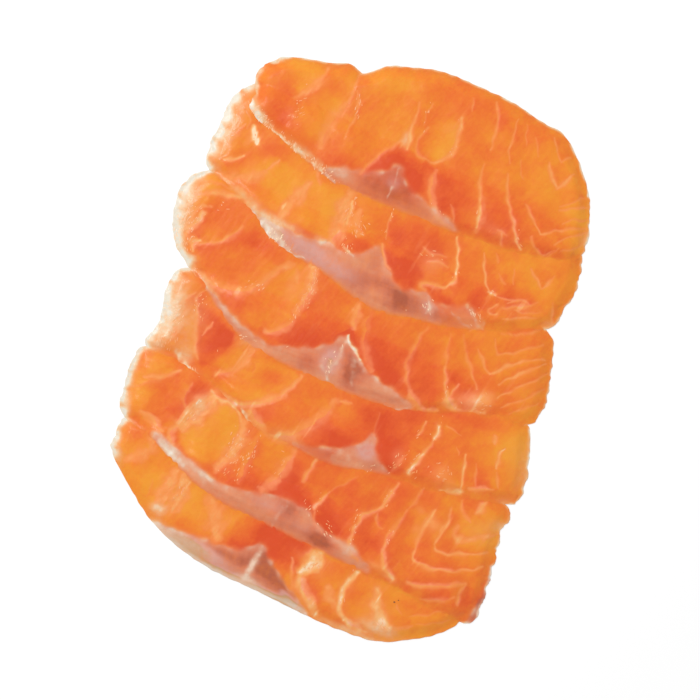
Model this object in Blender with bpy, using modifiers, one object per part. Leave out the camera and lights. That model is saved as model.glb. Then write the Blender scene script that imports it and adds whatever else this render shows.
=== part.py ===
"""Smoked salmon: six thin slices of fillet laid one over the next like roof tiles.

Metres, +Z up. X runs along a slice from the belly end to the back end, and Y runs up the fan,
from the slice that lies on the plate to the one that lies on top. The origin is on the plate,
under the middle of the fan.
"""

import bpy
import bmesh
import numpy as np
from mathutils import Matrix, Vector
from mathutils.bvhtree import BVHTree

# Driving dimensions, in millimetres.
MM = 0.001
SLICE_THICKNESS = 2.6
SKIN_EDGE_THICKNESS = 0.8
FLESH_EDGE_THICKNESS = 0.8
END_THICKNESS = 0.9
SKIN_BEVEL_WIDTH = 9.0
FLESH_FEATHER_WIDTH = 11.0
END_TAPER_WIDTH = 8.0
EDGE_ROUNDING = 0.25
SEPTUM_GROOVE_DEPTH = 0.4
SEPTUM_NOTCH_DEPTH = 0.7
GAP_BETWEEN_SLICES = 0.3
DRAPE_REACH = 2.8
DRAPE_DIRECTIONS = 8
DRAPE_SAG = 0.3
DRAPE_PASSES = 6
RAY_START_HEIGHT = 60.0

# How finely a slice is divided: columns in a flake, and rows from the skin edge to the flesh edge.
COLUMNS_PER_FLAKE = 3
WIDE_FLAKE = 24.0
ROW_SHARES = (0.0, 0.055, 0.14, 0.25, 0.37, 0.49, 0.61, 0.73, 0.84, 0.93, 1.0)
CURVE_STEPS = 12
SHARE_STEPS = 400
ROUNDED_ABOVE_DEGREES = 50

# Each slice from the top of the fan down. The four sides run round the slice: the skin edge from the
# belly to the back, the back end upwards, the flesh edge back to the belly, and the belly end down.
# A septum is the sheet of fat between two flakes, given by where it meets the skin and flesh edges.
SLICES = (
    {
        "name": "slice_1",
        "colour": (0.94, 0.25, 0.04),
        "skin_edge": [(-70, 63), (-52, 56.5), (-32, 50.3), (0, 49.6), (30, 50.6), (50, 53.3), (64.5, 57.5)],
        "back_end": [(67, 64), (65, 73)],
        "flesh_edge": [(60.5, 83.3), (52, 94), (42.5, 101.4), (34, 102.4), (20, 105.2), (4, 106),
                       (-10, 105.7), (-20, 103), (-30, 100.3), (-38, 94.5), (-50, 92.4), (-60, 90.3),
                       (-68.5, 87)],
        "belly_end": [(-74.4, 79), (-72.6, 70.5)],
        "septa": [(-60, -50), (-41, -38), (-26, -14), (7, -6), (25, 14), (46, 26), (58, 42)],
    },
    {
        "name": "slice_2",
        "colour": (0.95, 0.28, 0.04),
        "skin_edge": [(-77.6, 38), (-58, 28.5), (-42, 20.5), (-20, 16), (0, 11.2), (18, 13.8),
                      (38, 18), (64.6, 30)],
        "back_end": [(68.4, 40), (69.6, 50)],
        "flesh_edge": [(64, 64), (40, 71), (10, 73), (-25, 74), (-55, 76), (-72, 75)],
        "belly_end": [(-79, 66), (-78.4, 56), (-79.4, 47)],
        "septa": [(-68, -56), (-52, -36), (-26, -18), (-5, -5), (18, 17), (40, 28), (55, 45)],
    },
    {
        "name": "slice_3",
        "colour": (0.90, 0.19, 0.035),
        "skin_edge": [(-72, 1), (-60, -7), (-48, -15), (-34, -20), (0, -22), (22, -20.5),
                      (35, -17.5), (46, -12.8), (60, -9), (72, -7)],
        "back_end": [(75.6, 3), (71.8, 19.5)],
        "flesh_edge": [(65, 30), (40, 36), (5, 38), (-30, 38.5), (-60, 39), (-78, 36.6)],
        "belly_end": [(-83.5, 27), (-81.8, 15), (-77.6, 6.5)],
        "septa": [(-68, -58), (-54, -38), (-36, -24), (-4, -4), (33, 18), (48, 30), (62, 44)],
    },
    {
        "name": "slice_4",
        "colour": (0.92, 0.21, 0.035),
        "skin_edge": [(-74, -34), (-58, -36), (-44, -39), (-27, -46.5), (-8, -49.5), (12, -49.3),
                      (30, -45.3), (52, -43.5), (78, -36.8)],
        "back_end": [(79.8, -27), (76.2, -14)],
        "flesh_edge": [(71.5, -6), (50, -1), (15, 2.5), (-20, 3), (-50, 2), (-71.5, -1)],
        "belly_end": [(-75.2, -10), (-72.8, -23)],
        "septa": [(-60, -56), (-45, -28), (-30, -12), (-8, 4), (19, 18), (37, 42), (55, 54)],
    },
    {
        "name": "slice_5",
        "colour": (0.90, 0.20, 0.04),
        "skin_edge": [(-71.5, -61.5), (-54, -68.5), (-40, -75), (-25, -79), (0, -80.5), (20, -82),
                      (45, -83.3), (78, -85.8)],
        "back_end": [(82.4, -78), (80.7, -61), (78.7, -48)],
        "flesh_edge": [(77.6, -38.5), (50, -32), (15, -30.5), (-25, -31), (-55, -31.5), (-73.5, -34)],
        "belly_end": [(-75.6, -41), (-74.4, -52)],
        "septa": [(-60, -52), (-48, -42), (-31, -26), (-11, -8), (9, 18), (28, 34), (47, 44), (66, 58)],
    },
    {
        "name": "slice_6",
        "colour": (0.92, 0.24, 0.04),
        "skin_edge": [(-70.5, -76.5), (-57, -88), (-43, -97), (-23, -103), (0, -104.6), (28, -106.2),
                      (50, -105), (64, -98.3), (71, -93.5), (77, -86.3)],
        "back_end": [(77, -76)],
        "flesh_edge": [(70, -66), (40, -62), (5, -61), (-35, -60.5), (-60, -59.5)],
        "belly_end": [(-70.8, -62.5), (-71.8, -70)],
        "septa": [(-64, -56), (-49, -42), (-30, -26), (-4, -4), (20, 18), (38, 34), (52, 46)],
    },
)


def clear_scene():
    for obj in list(bpy.data.objects):
        bpy.data.objects.remove(obj)


def flesh_material(name, colour):
    """Wet, cold-smoked flesh: an orange that lets some light in under a glossy surface."""
    material = bpy.data.materials.new(name)
    material.use_nodes = True
    shader = material.node_tree.nodes["Principled BSDF"]
    shader.inputs["Base Color"].default_value = (*colour, 1.0)
    shader.inputs["Roughness"].default_value = 0.3
    shader.inputs["Metallic"].default_value = 0.0
    shader.inputs["Subsurface Weight"].default_value = 0.3
    return material


def smooth_loop(knots):
    """A closed Catmull-Rom curve through the knots, with CURVE_STEPS points from each knot to the next."""
    knots = np.array(knots, float)
    before, after, beyond = np.roll(knots, 1, 0), np.roll(knots, -1, 0), np.roll(knots, -2, 0)
    u = (np.arange(CURVE_STEPS) / CURVE_STEPS)[None, :, None]
    a, b, c, d = (k[:, None, :] for k in (before, knots, after, beyond))
    bend = (2 * a - 5 * b + 4 * c - d) * u**2 + (3 * b - a - 3 * c + d) * u**3
    return (b + 0.5 * ((c - a) * u + bend)).reshape(-1, 2)


def sides_of(spec):
    """The slice's skin edge, back end, flesh edge and belly end: runs of points that share corners."""
    runs = [spec["skin_edge"], spec["back_end"], spec["flesh_edge"], spec["belly_end"]]
    loop = smooth_loop([knot for run in runs for knot in run])
    skin, back, flesh, belly = (len(run) for run in runs)
    corners = [0, skin - 1, skin + back, skin + back + flesh - 1, skin + back + flesh + belly]
    closed = np.vstack([loop, loop[:1]])
    return [closed[a * CURVE_STEPS:b * CURVE_STEPS + 1] for a, b in zip(corners, corners[1:])]


def along(run, share):
    """The point that lies at this share of a run's length."""
    lengths = np.concatenate([[0], np.cumsum(np.linalg.norm(np.diff(run, axis=0), axis=1))])
    at = np.asarray(share) * lengths[-1]
    return np.stack([np.interp(at, lengths, run[:, 0]), np.interp(at, lengths, run[:, 1])], axis=-1)


def share_at_x(run, x):
    """The share of a run's length at which it passes this x."""
    shares = np.linspace(0, 1, SHARE_STEPS)
    passed = along(run, shares)[:, 0]
    return float(shares[np.argmin(np.abs(passed - x))])


def columns_of(spec, skin, flesh):
    """Where each column of the grid meets the skin edge and the flesh edge, and whether it is a septum."""
    feet = [0.0] + [share_at_x(skin, foot) for foot, _ in spec["septa"]] + [1.0]
    heads = [0.0] + [share_at_x(flesh, head) for _, head in spec["septa"]] + [1.0]
    length = abs(skin[-1][0] - skin[0][0])
    columns = [(0.0, 0.0, False)]
    for k in range(len(feet) - 1):
        wide = (feet[k + 1] - feet[k]) * length > WIDE_FLAKE
        count = COLUMNS_PER_FLAKE + (1 if wide else 0)
        for step in range(1, count + 1):
            part = step / count
            foot = feet[k] + (feet[k + 1] - feet[k]) * part
            head = heads[k] + (heads[k + 1] - heads[k]) * part
            columns.append((foot, head, step == count and k < len(feet) - 2))
    return columns


def plan_of(spec):
    """The slice seen from above: points by row and column, and how near each one is to a septum."""
    skin, back, flesh, belly = sides_of(spec)
    flesh, belly = flesh[::-1], belly[::-1]
    columns = columns_of(spec, skin, flesh)
    rows = np.array(ROW_SHARES)
    points = np.zeros((len(rows), len(columns), 2))
    septum = np.zeros((len(rows), len(columns)))
    for j, (foot, head, is_septum) in enumerate(columns):
        s = foot + (head - foot) * rows
        t = rows[:, None]
        s2 = s[:, None]
        across = (1 - t) * along(skin, s) + t * along(flesh, s)
        lengthways = (1 - s2) * along(belly, rows) + s2 * along(back, rows)
        near_corners = (1 - s2) * skin[0] + s2 * skin[-1]
        far_corners = (1 - s2) * flesh[0] + s2 * flesh[-1]
        points[:, j] = across + lengthways - (1 - t) * near_corners - t * far_corners
        septum[:, j] = float(is_septum)
        if is_septum:
            for edge, inner in ((0, 1), (-1, -2)):
                inward = points[inner, j] - points[edge, j]
                points[edge, j] += SEPTUM_NOTCH_DEPTH * inward / np.linalg.norm(inward)
    return points, septum


def thickness_of(points, septum):
    """The slice's thickness at each point: tapered to each edge, and grooved at each septum."""
    def eased(distance, width, edge):
        part = np.clip(distance / width, 0, 1)
        part = part * (2 - part)
        return edge / SLICE_THICKNESS + (1 - edge / SLICE_THICKNESS) * part

    from_skin = np.linalg.norm(points - points[:1], axis=2)
    from_flesh = np.linalg.norm(points - points[-1:], axis=2)
    from_belly = np.linalg.norm(points - points[:, :1], axis=2)
    from_back = np.linalg.norm(points - points[:, -1:], axis=2)
    taper = np.minimum.reduce([
        eased(from_skin, SKIN_BEVEL_WIDTH, SKIN_EDGE_THICKNESS),
        eased(from_flesh, FLESH_FEATHER_WIDTH, FLESH_EDGE_THICKNESS),
        eased(from_belly, END_TAPER_WIDTH, END_THICKNESS),
        eased(from_back, END_TAPER_WIDTH, END_THICKNESS),
    ])
    return taper * (SLICE_THICKNESS - septum * SEPTUM_GROOVE_DEPTH)


def highest_below(x, y, laid):
    """How high the slices already laid reach within DRAPE_REACH of this place."""
    angles = np.arange(DRAPE_DIRECTIONS) * 2 * np.pi / DRAPE_DIRECTIONS
    ring = [(0.0, 0.0)] + [(np.cos(angle), np.sin(angle)) for angle in angles]
    height = 0.0
    for tree in laid:
        for dx, dy in ring:
            start = Vector((x + dx * DRAPE_REACH, y + dy * DRAPE_REACH, RAY_START_HEIGHT)) * MM
            hit = tree.ray_cast(start, Vector((0, 0, -1)))[0]
            if hit is not None:
                height = max(height, hit.z / MM + GAP_BETWEEN_SLICES)
    return height


def drape(points, laid):
    """The height of the slice's underside: flat on the plate, and eased up over the slices beneath."""
    support = np.array([[highest_below(x, y, laid) for x, y in row] for row in points])
    height = support.copy()
    for _ in range(DRAPE_PASSES if laid else 0):
        padded = np.pad(height, 1, mode="edge")
        level = (padded[:-2, 1:-1] + padded[2:, 1:-1] + padded[1:-1, :-2] + padded[1:-1, 2:]) / 4
        height = np.maximum(support, level - DRAPE_SAG)
    return height


def lay_slice(spec, laid, collection):
    """One slice as a draped sheet: a grid bent to the plan, thickened upwards, with rounded edges."""
    points, septum = plan_of(spec)
    thickness = thickness_of(points, septum)
    height = drape(points, laid)
    rows, columns = septum.shape
    bm = bmesh.new()
    bmesh.ops.create_grid(bm, x_segments=columns - 1, y_segments=rows - 1, size=0.5)
    weights = {}
    for vert in bm.verts:
        i = round((vert.co.y + 0.5) * (rows - 1))
        j = round((vert.co.x + 0.5) * (columns - 1))
        vert.co = Vector((points[i, j, 0], points[i, j, 1], height[i, j])) * MM
        weights[vert.index] = thickness[i, j] / SLICE_THICKNESS
    mesh = bpy.data.meshes.new(spec["name"])
    bm.to_mesh(mesh)
    bm.free()

    obj = bpy.data.objects.new(spec["name"], mesh)
    collection.objects.link(obj)
    mesh.materials.append(flesh_material(spec["name"] + "_flesh", spec["colour"]))
    group = obj.vertex_groups.new(name="thickness")
    for index, weight in weights.items():
        group.add([index], weight, "REPLACE")

    thicken = obj.modifiers.new("thicken", "SOLIDIFY")
    thicken.thickness = SLICE_THICKNESS * MM
    thicken.offset = 1.0
    thicken.vertex_group = group.name
    rounding = obj.modifiers.new("round_edges", "BEVEL")
    rounding.width = EDGE_ROUNDING * MM
    rounding.segments = 1
    rounding.limit_method = "ANGLE"
    rounding.angle_limit = np.radians(ROUNDED_ABOVE_DEGREES)
    rounding.use_clamp_overlap = True
    mesh.shade_smooth()
    return obj


def evaluated_tree(obj):
    bpy.context.view_layer.update()
    return BVHTree.FromObject(obj, bpy.context.evaluated_depsgraph_get())


def centre_on_origin(slices):
    """Moves all the slices together, so that the middle of their common box stands over the origin."""
    bpy.context.view_layer.update()
    graph = bpy.context.evaluated_depsgraph_get()
    corners = np.array([corner for obj in slices for corner in obj.evaluated_get(graph).bound_box])
    middle = (corners.min(0) + corners.max(0)) / 2
    for obj in slices:
        obj.data.transform(Matrix.Translation((-middle[0], -middle[1], -corners[:, 2].min())))


def main():
    clear_scene()
    collection = bpy.data.collections.new("smoked_salmon")
    bpy.context.scene.collection.children.link(collection)
    slices, laid = [], []
    for spec in reversed(SLICES):
        obj = lay_slice(spec, laid, collection)
        slices.append(obj)
        laid.append(evaluated_tree(obj))
    centre_on_origin(slices)


main()
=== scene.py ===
"""Smoked salmon: six thin slices of fillet laid one over the next like roof tiles.

Metres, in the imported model's frame. Places on a slice are given in millimetres, from the point on the
plate that the outlines are drawn from: X runs from the belly end of a slice to its back end, and Y up
the fan from the lowest slice to the uppermost.
"""

import math

import bpy
import numpy as np
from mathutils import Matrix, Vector
from mathutils.bvhtree import BVHTree


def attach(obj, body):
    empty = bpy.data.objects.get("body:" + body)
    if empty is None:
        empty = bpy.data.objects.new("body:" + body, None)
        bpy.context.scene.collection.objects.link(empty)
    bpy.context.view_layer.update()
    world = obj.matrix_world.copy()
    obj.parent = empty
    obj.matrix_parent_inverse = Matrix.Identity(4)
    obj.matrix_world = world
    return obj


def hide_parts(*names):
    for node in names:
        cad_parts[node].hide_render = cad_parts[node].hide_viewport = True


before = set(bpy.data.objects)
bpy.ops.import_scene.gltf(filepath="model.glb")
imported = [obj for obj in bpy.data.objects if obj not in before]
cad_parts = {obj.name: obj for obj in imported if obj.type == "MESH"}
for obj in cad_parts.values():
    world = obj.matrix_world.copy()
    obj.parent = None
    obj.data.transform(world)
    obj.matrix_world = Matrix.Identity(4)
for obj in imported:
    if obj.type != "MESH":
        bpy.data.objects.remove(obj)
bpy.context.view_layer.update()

MM = 0.001

# Flesh and fat
# Cold smoking leaves the flesh moist, oily and see-through. Its orange runs from gold where one thin
# slice lies alone to deep red by the skin, and the sheets of fat between the flakes stay pale peach.


def linear(red, green, blue):
    """A colour as a screen shows it, in 0 to 255, as the light that a shader mixes."""
    shares = [value / 255 for value in (red, green, blue)]
    return tuple(s / 12.92 if s <= 0.04045 else ((s + 0.055) / 1.055) ** 2.4 for s in shares) + (1.0,)


class Wire:
    """A socket in a node tree, where arithmetic adds the Math nodes."""

    def __init__(self, tree, socket=None):
        self.tree = tree
        self.socket = socket

    def node(self, kind, settings, inputs, output=0):
        """Adds a node, sets what it is, then its sockets by value or by wire, and gives one output."""
        node = self.tree.nodes.new(kind)
        for name, value in settings.items():
            if name == "stops":
                ramp = node.color_ramp
                while len(ramp.elements) < len(value):
                    ramp.elements.new(0.5)
                for element, (place, colour) in zip(ramp.elements, value):
                    element.position = place
                    element.color = colour
            else:
                setattr(node, name, value)
        for name, value in inputs.items():
            if isinstance(value, Wire):
                self.tree.links.new(value.socket, node.inputs[name])
            else:
                node.inputs[name].default_value = value
        return Wire(self.tree, node.outputs[output] if node.outputs else None)

    def sibling(self, output):
        """Another output of the node that this socket belongs to."""
        return Wire(self.tree, self.socket.node.outputs[output])

    def maths(self, operation, *values):
        return self.node("ShaderNodeMath", {"operation": operation}, dict(enumerate(values)))

    def clamped(self):
        return self.node("ShaderNodeClamp", {}, {0: self})

    def between(self, low, high):
        """0 below low, 1 above high, and eased in between."""
        settings = {"interpolation_type": "SMOOTHSTEP"}
        return self.node("ShaderNodeMapRange", settings, {0: self, 1: low, 2: high, 3: 0.0, 4: 1.0})

    def colours(self, stops):
        return self.node("ShaderNodeValToRGB", {"stops": stops}, {0: self})

    def mix(self, first, second):
        """Goes from the first colour to the second as this value goes from 0 to 1."""
        return self.node("ShaderNodeMix", {"data_type": "RGBA"}, {0: self, 6: first, 7: second}, 2)

    def painted(self, name):
        """A value that is painted on the mesh."""
        return self.node("ShaderNodeAttribute", {"attribute_name": name}, {}, 2)

    def feed(self, shader, name):
        """Wires this socket into a shader's input."""
        self.tree.links.new(self.socket, shader.inputs[name])

    def __add__(self, other):
        return self.maths("ADD", self, other)

    def __sub__(self, other):
        return self.maths("SUBTRACT", self, other)

    def __rsub__(self, other):
        return self.maths("SUBTRACT", other, self)

    def __mul__(self, other):
        return self.maths("MULTIPLY", self, other)

    __radd__ = __add__
    __rmul__ = __mul__


FLESH_TONES = (
    (0.0, linear(237, 152, 46)),
    (0.25, linear(236, 137, 42)),
    (0.5, linear(233, 117, 42)),
    (0.75, linear(228, 98, 40)),
    (1.0, linear(217, 78, 34)),
)
FAT_TONES = (
    (0.0, linear(239, 134, 68)),
    (0.4, linear(241, 145, 75)),
    (0.6, linear(242, 160, 87)),
    (0.8, linear(244, 182, 117)),
    (1.0, linear(250, 216, 176)),
)
FAT_ON_RED_TONES = (
    (0.0, linear(238, 128, 80)),
    (0.4, linear(241, 134, 84)),
    (0.6, linear(244, 147, 100)),
    (0.8, linear(246, 172, 132)),
    (1.0, linear(250, 216, 186)),
)
SKIN_TONES = (
    (0.0, linear(233, 162, 122)),
    (0.3, linear(222, 142, 104)),
    (0.55, linear(212, 125, 92)),
    (0.8, linear(197, 108, 78)),
    (1.0, linear(178, 92, 64)),
)
SILVER_TONES = (
    (0.0, linear(217, 150, 134)),
    (0.38, linear(216, 154, 138)),
    (0.5, linear(198, 153, 112)),
    (0.62, linear(202, 160, 120)),
    (1.0, linear(214, 198, 180)),
)
PALE_TONES = (
    (0.0, linear(236, 154, 94)),
    (0.4, linear(236, 174, 122)),
    (0.7, linear(236, 200, 162)),
    (1.0, linear(231, 218, 199)),
)
PALE_SKIN_TONES = (
    (0.0, linear(224, 168, 140)),
    (0.4, linear(228, 184, 156)),
    (0.7, linear(234, 204, 180)),
    (1.0, linear(240, 226, 210)),
)

# Each unevenness of the flesh: how many bumps fit in a metre, the detail, the stretch and the turn.
NOISES = {
    "cloud": (70, 2, (0.5, 1, 1), 0),
    "mottle": (150, 3, (1, 1, 1), 0),
    "fine_mottle": (520, 2, (1, 1, 1), 0),
    "fibre": (640, 2, (1, 0.14, 1), 20),
    "thread": (360, 1, (1, 0.10, 1), 12),
    "speckle": (1500, 2, (1, 1, 1), 0),
    "streak": (300, 3, (0.16, 1, 1), -4),
    "crease": (420, 2, (1, 0.3, 1), -15),
    "torn": (480, 3, (1, 0.55, 1), 20),
    "grit": (1000, 2, (1, 0.6, 1), 25),
}
# How strongly each of them shows in a layer of the paint, in the gloss and in the relief.
UNEVENNESS = {
    "tone": {"mottle": 0.24, "fine_mottle": 0.24, "fibre": 0.2, "grit": 0.2},
    "fat": {"mottle": 0.4, "fine_mottle": 0.4},
    "band": {"mottle": 0.7, "fine_mottle": 0.6},
    "dusk": {"cloud": 0.8, "mottle": 0.4, "streak": 0.5, "crease": 0.3},
    "silver": {"cloud": 0.8, "streak": 0.8},
    "pale": {"mottle": 0.6, "fine_mottle": 0.9},
    "roughness": {"mottle": 0.3, "fine_mottle": 0.2},
    "relief": {"fine_mottle": 0.5, "fibre": 0.4, "speckle": 0.2},
}
NOISE_ROUGHNESS = 0.55
TONE_CONTRAST = 1.1
TONE_SHIFT = -0.05

# Where one look gives way to the next: the value where that starts, and the value where it is done.
RED_FLESH = (0.45, 0.85)
SILVER_SKIN = (0.0, 0.3)
FAT_SHEET = (0.0, 0.5)
RIM_ON_BAND = (0.1, 0.5)
PALE_RIM = (0.0, 0.55)
THREADS = (0.12, 0.24)
CRAG_GLINTS = (0.1, 0.24)

# How much the fine threads of fat and torn crags add, how much painted highlight whitens their wet tips,
# and how the surface shines.
THREADS_ON_CRAGS = 0.4
THREADS_ELSEWHERE = 0.1
CRAGS_IN_FAT = 0.5
CRAGS_IN_PALE = 0.25
CRAG_GLINTS_IN_PALE = 0.45
CREASES_IN_BAND = 0.8
CRAG_HEIGHT = 3
ROUGHNESS = 0.4
BUMP_STRENGTH = 0.4
BUMP_HEIGHT = 0.5 * MM
GLOW = 0.12
GLOW_RADIUS = (1.0, 0.6, 0.4)
GLOW_DEPTH = 1.5 * MM
SHINE = 0.2
WETNESS = 0.07
WETNESS_OF_CRAGS = 0.4
WET_ROUGHNESS = 0.09


def salmon_material():
    """The moist flesh, its fat, its skin band and its pale belly, from what is painted on the mesh."""
    material = bpy.data.materials.new("salmon_flesh")
    material.use_nodes = True
    tree = material.node_tree
    shader = tree.nodes["Principled BSDF"]
    start = Wire(tree)
    painted = start.painted

    def noise(scale, detail, stretch, turn):
        """Noise about its middle, with bumps of 1 / scale metres, drawn out along a direction."""
        place = start.node("ShaderNodeTexCoord", {}, {}, 3)
        turned = start.node("ShaderNodeMapping", {}, {0: place, 2: (0, 0, math.radians(turn))})
        drawn = start.node("ShaderNodeMapping", {}, {0: turned, 3: stretch})
        inputs = {"Vector": drawn, "Scale": scale, "Detail": detail, "Roughness": NOISE_ROUGHNESS}
        return start.node("ShaderNodeTexNoise", {}, inputs) - 0.5

    noises = {name: noise(*settings) for name, settings in NOISES.items()}

    def uneven(layer):
        """How far each place strays from the layer as it is painted."""
        first, *others = (noises[name] * amount for name, amount in UNEVENNESS[layer].items())
        return sum(others, first)

    crag = painted("crag") * noises["torn"]
    tone = (painted("tone") * TONE_CONTRAST + TONE_SHIFT + uneven("tone")).clamped()
    threads = noises["thread"].between(*THREADS) * (painted("crag") * THREADS_ON_CRAGS + THREADS_ELSEWHERE)
    fat = (painted("fat") * (1 + uneven("fat")) + crag * CRAGS_IN_FAT + threads).clamped()
    band = (painted("band") * (1 + uneven("band"))).clamped()
    dusk = (painted("dusk") + uneven("dusk")).clamped()
    silver = (painted("silver") * (1 + uneven("silver"))).clamped()
    # Painted highlight: the highest tips of the torn crags are whitened in the pale layer as wet glints.
    crag_glints = crag.between(*CRAG_GLINTS) * CRAG_GLINTS_IN_PALE
    pale = (painted("pale") * (1 + uneven("pale")) + crag_glints + crag * CRAGS_IN_PALE).clamped()

    skin = silver.between(*SILVER_SKIN).mix(dusk.colours(SKIN_TONES), silver.colours(SILVER_TONES))
    colour = band.mix(tone.colours(FLESH_TONES), skin)
    sheet = tone.between(*RED_FLESH).mix(fat.colours(FAT_TONES), fat.colours(FAT_ON_RED_TONES))
    colour = fat.between(*FAT_SHEET).mix(colour, sheet)
    rim = band.between(*RIM_ON_BAND).mix(pale.colours(PALE_TONES), pale.colours(PALE_SKIN_TONES))
    pale.between(*PALE_RIM).mix(colour, rim).feed(shader, "Base Color")

    (uneven("roughness") + ROUGHNESS).feed(shader, "Roughness")
    height = uneven("relief") + noises["crease"] * band * CREASES_IN_BAND + crag * CRAG_HEIGHT
    bump = {"Strength": BUMP_STRENGTH, "Distance": BUMP_HEIGHT, "Height": height}
    start.node("ShaderNodeBump", {}, bump).feed(shader, "Normal")
    shader.inputs["Subsurface Weight"].default_value = GLOW
    shader.inputs["Subsurface Radius"].default_value = GLOW_RADIUS
    shader.inputs["Subsurface Scale"].default_value = GLOW_DEPTH
    shader.inputs["Specular IOR Level"].default_value = SHINE
    (painted("crag") * WETNESS_OF_CRAGS + WETNESS).feed(shader, "Coat Weight")
    shader.inputs["Coat Roughness"].default_value = WET_ROUGHNESS
    return material


flesh = salmon_material()

# A slice
# Each slice is cut across the fillet with one long stroke, so it is a thin sheet with flat faces and
# soft, rounded edges. It lies on the plate along its upper part and over the next slice by its skin.
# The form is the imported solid's, divided finely enough to carry the fat, the grain and the wet edges.
CURVE_STEPS = 10


def smooth_line(knots, closed=False):
    """Points a short way apart on a smooth curve through the knots."""
    knots = np.array(knots, float)
    if closed:
        guide = np.vstack([knots[-1:], knots, knots[:2]])
    else:
        guide = np.vstack([2 * knots[0] - knots[1], knots, 2 * knots[-1] - knots[-2]])
    a, b, c, d = (guide[k:len(guide) - 3 + k, None] for k in range(4))
    u = (np.arange(CURVE_STEPS) / CURVE_STEPS)[None, :, None]
    bend = (2 * a - 5 * b + 4 * c - d) * u**2 + (3 * b - a - 3 * c + d) * u**3
    points = (b + 0.5 * ((c - a) * u + bend)).reshape(-1, 2)
    return points if closed else np.vstack([points, knots[-1:]])


def along(run, share):
    """The points that lie at these shares of a run's length."""
    lengths = np.concatenate([[0], np.cumsum(np.linalg.norm(np.diff(run, axis=0), axis=1))])
    at = np.asarray(share) * lengths[-1]
    return np.stack([np.interp(at, lengths, run[:, 0]), np.interp(at, lengths, run[:, 1])], axis=-1)


def eased(value):
    """0 at 0 and below, 1 at 1 and above, and smooth in between."""
    part = np.clip(value, 0, 1)
    return part * part * (3 - 2 * part)


def bell(away, width):
    """1 where nothing is away, and fading to nothing over about this width."""
    return np.exp(-(away / width) ** 2)


def nearest(points, line):
    """How far each point is from a line, the share of the line nearest to it, and its side: 1 is left."""
    away = np.full(len(points), 1e9)
    share = np.zeros(len(points))
    side = np.zeros(len(points))
    for k, (start, step) in enumerate(zip(line[:-1], np.diff(line, axis=0))):
        offset = points - start
        part = np.clip(offset @ step / max(step @ step, 1e-12), 0, 1)
        gap = np.hypot(*(offset - part[:, None] * step).T)
        closer = gap < away
        away[closer] = gap[closer]
        share[closer] = (k + part[closer]) / (len(line) - 1)
        side[closer] = np.sign(step[0] * offset[closer, 1] - step[1] * offset[closer, 0])
    return away, share, side


def depth_inside(points, loop):
    """How far each point lies inside a closed loop, in millimetres, and below 0 outside it."""
    ring = np.vstack([loop, loop[:1]])
    turning = np.sign(np.sum(ring[:-1, 0] * ring[1:, 1] - ring[1:, 0] * ring[:-1, 1]))
    away, _, side = nearest(points, ring)
    return away * side * turning


WAVES = 9
WAVE_LENGTHS = (0.7, 1.5)
RIPPLE_HEIGHT = 0.6


def ripple(points, size, seed):
    """A smooth uneven field, mostly between -1 and 1, of bumps about this many millimetres across."""
    chance = np.random.default_rng(seed)
    turn = chance.uniform(0, 2 * np.pi, WAVES)
    length = 2 * size * chance.uniform(*WAVE_LENGTHS, WAVES)
    shift = chance.uniform(0, 2 * np.pi, WAVES)
    phase = 2 * np.pi * (points @ np.stack([np.cos(turn), np.sin(turn)])) / length + shift
    return np.sin(phase).sum(1) * math.sqrt(2 / WAVES) * RIPPLE_HEIGHT


COLUMNS = 431
ROWS = 179
ROWS_THAT_SHOW = 0.86
COLUMN_CROWDING = ((0, 0), (0.02, 0.006), (0.98, 0.994), (1, 1))


def plan(skin_edge, back_end, flesh_edge, belly_end, shown):
    """The slice from above: its four sides, and a grid of points from skin to flesh and belly to back."""
    runs = [skin_edge, back_end, flesh_edge, belly_end]
    loop = smooth_line([knot for run in runs for knot in run], closed=True)
    outline = np.vstack([loop, loop[:1]])
    skin, back, flesh_count, belly = (len(run) for run in runs)
    corners = np.array([0, skin - 1, skin + back, skin + back + flesh_count - 1,
                        skin + back + flesh_count + belly]) * CURVE_STEPS
    sides = [outline[a:b + 1] for a, b in zip(corners, corners[1:])]
    skin, back, flesh_run, belly = sides[0], sides[1], sides[2][::-1], sides[3][::-1]
    s = np.interp(np.linspace(0, 1, COLUMNS), *np.transpose(COLUMN_CROWDING))
    row_crowding = ((0, 0), (0.03, 0.012), (ROWS_THAT_SHOW, shown), (0.97, 0.988), (1, 1))
    t = np.interp(np.linspace(0, 1, ROWS), *np.transpose(row_crowding))
    across = (1 - t)[:, None, None] * along(skin, s) + t[:, None, None] * along(flesh_run, s)
    lengthways = ((1 - s)[None, :, None] * along(belly, t)[:, None]
                  + s[None, :, None] * along(back, t)[:, None])
    near = (1 - s)[:, None] * skin[0] + s[:, None] * skin[-1]
    far = (1 - s)[:, None] * flesh_run[0] + s[:, None] * flesh_run[-1]
    corner_part = (1 - t)[:, None, None] * near + t[:, None, None] * far
    return sides, across + lengthways - corner_part


def smoothed(field, cells):
    """The field averaged over this many cells each way, twice, so that it has no steps."""
    for _ in range(2):
        for axis in (0, 1):
            wide = np.pad(field, [(cells, cells) if k == axis else (0, 0) for k in (0, 1)], mode="edge")
            total = np.cumsum(np.insert(wide, 0, 0, axis=axis), axis=axis)
            size = field.shape[axis]
            upper = np.take(total, np.arange(size) + 2 * cells + 1, axis=axis)
            lower = np.take(total, np.arange(size), axis=axis)
            field = (upper - lower) / (2 * cells + 1)
    return field


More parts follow.
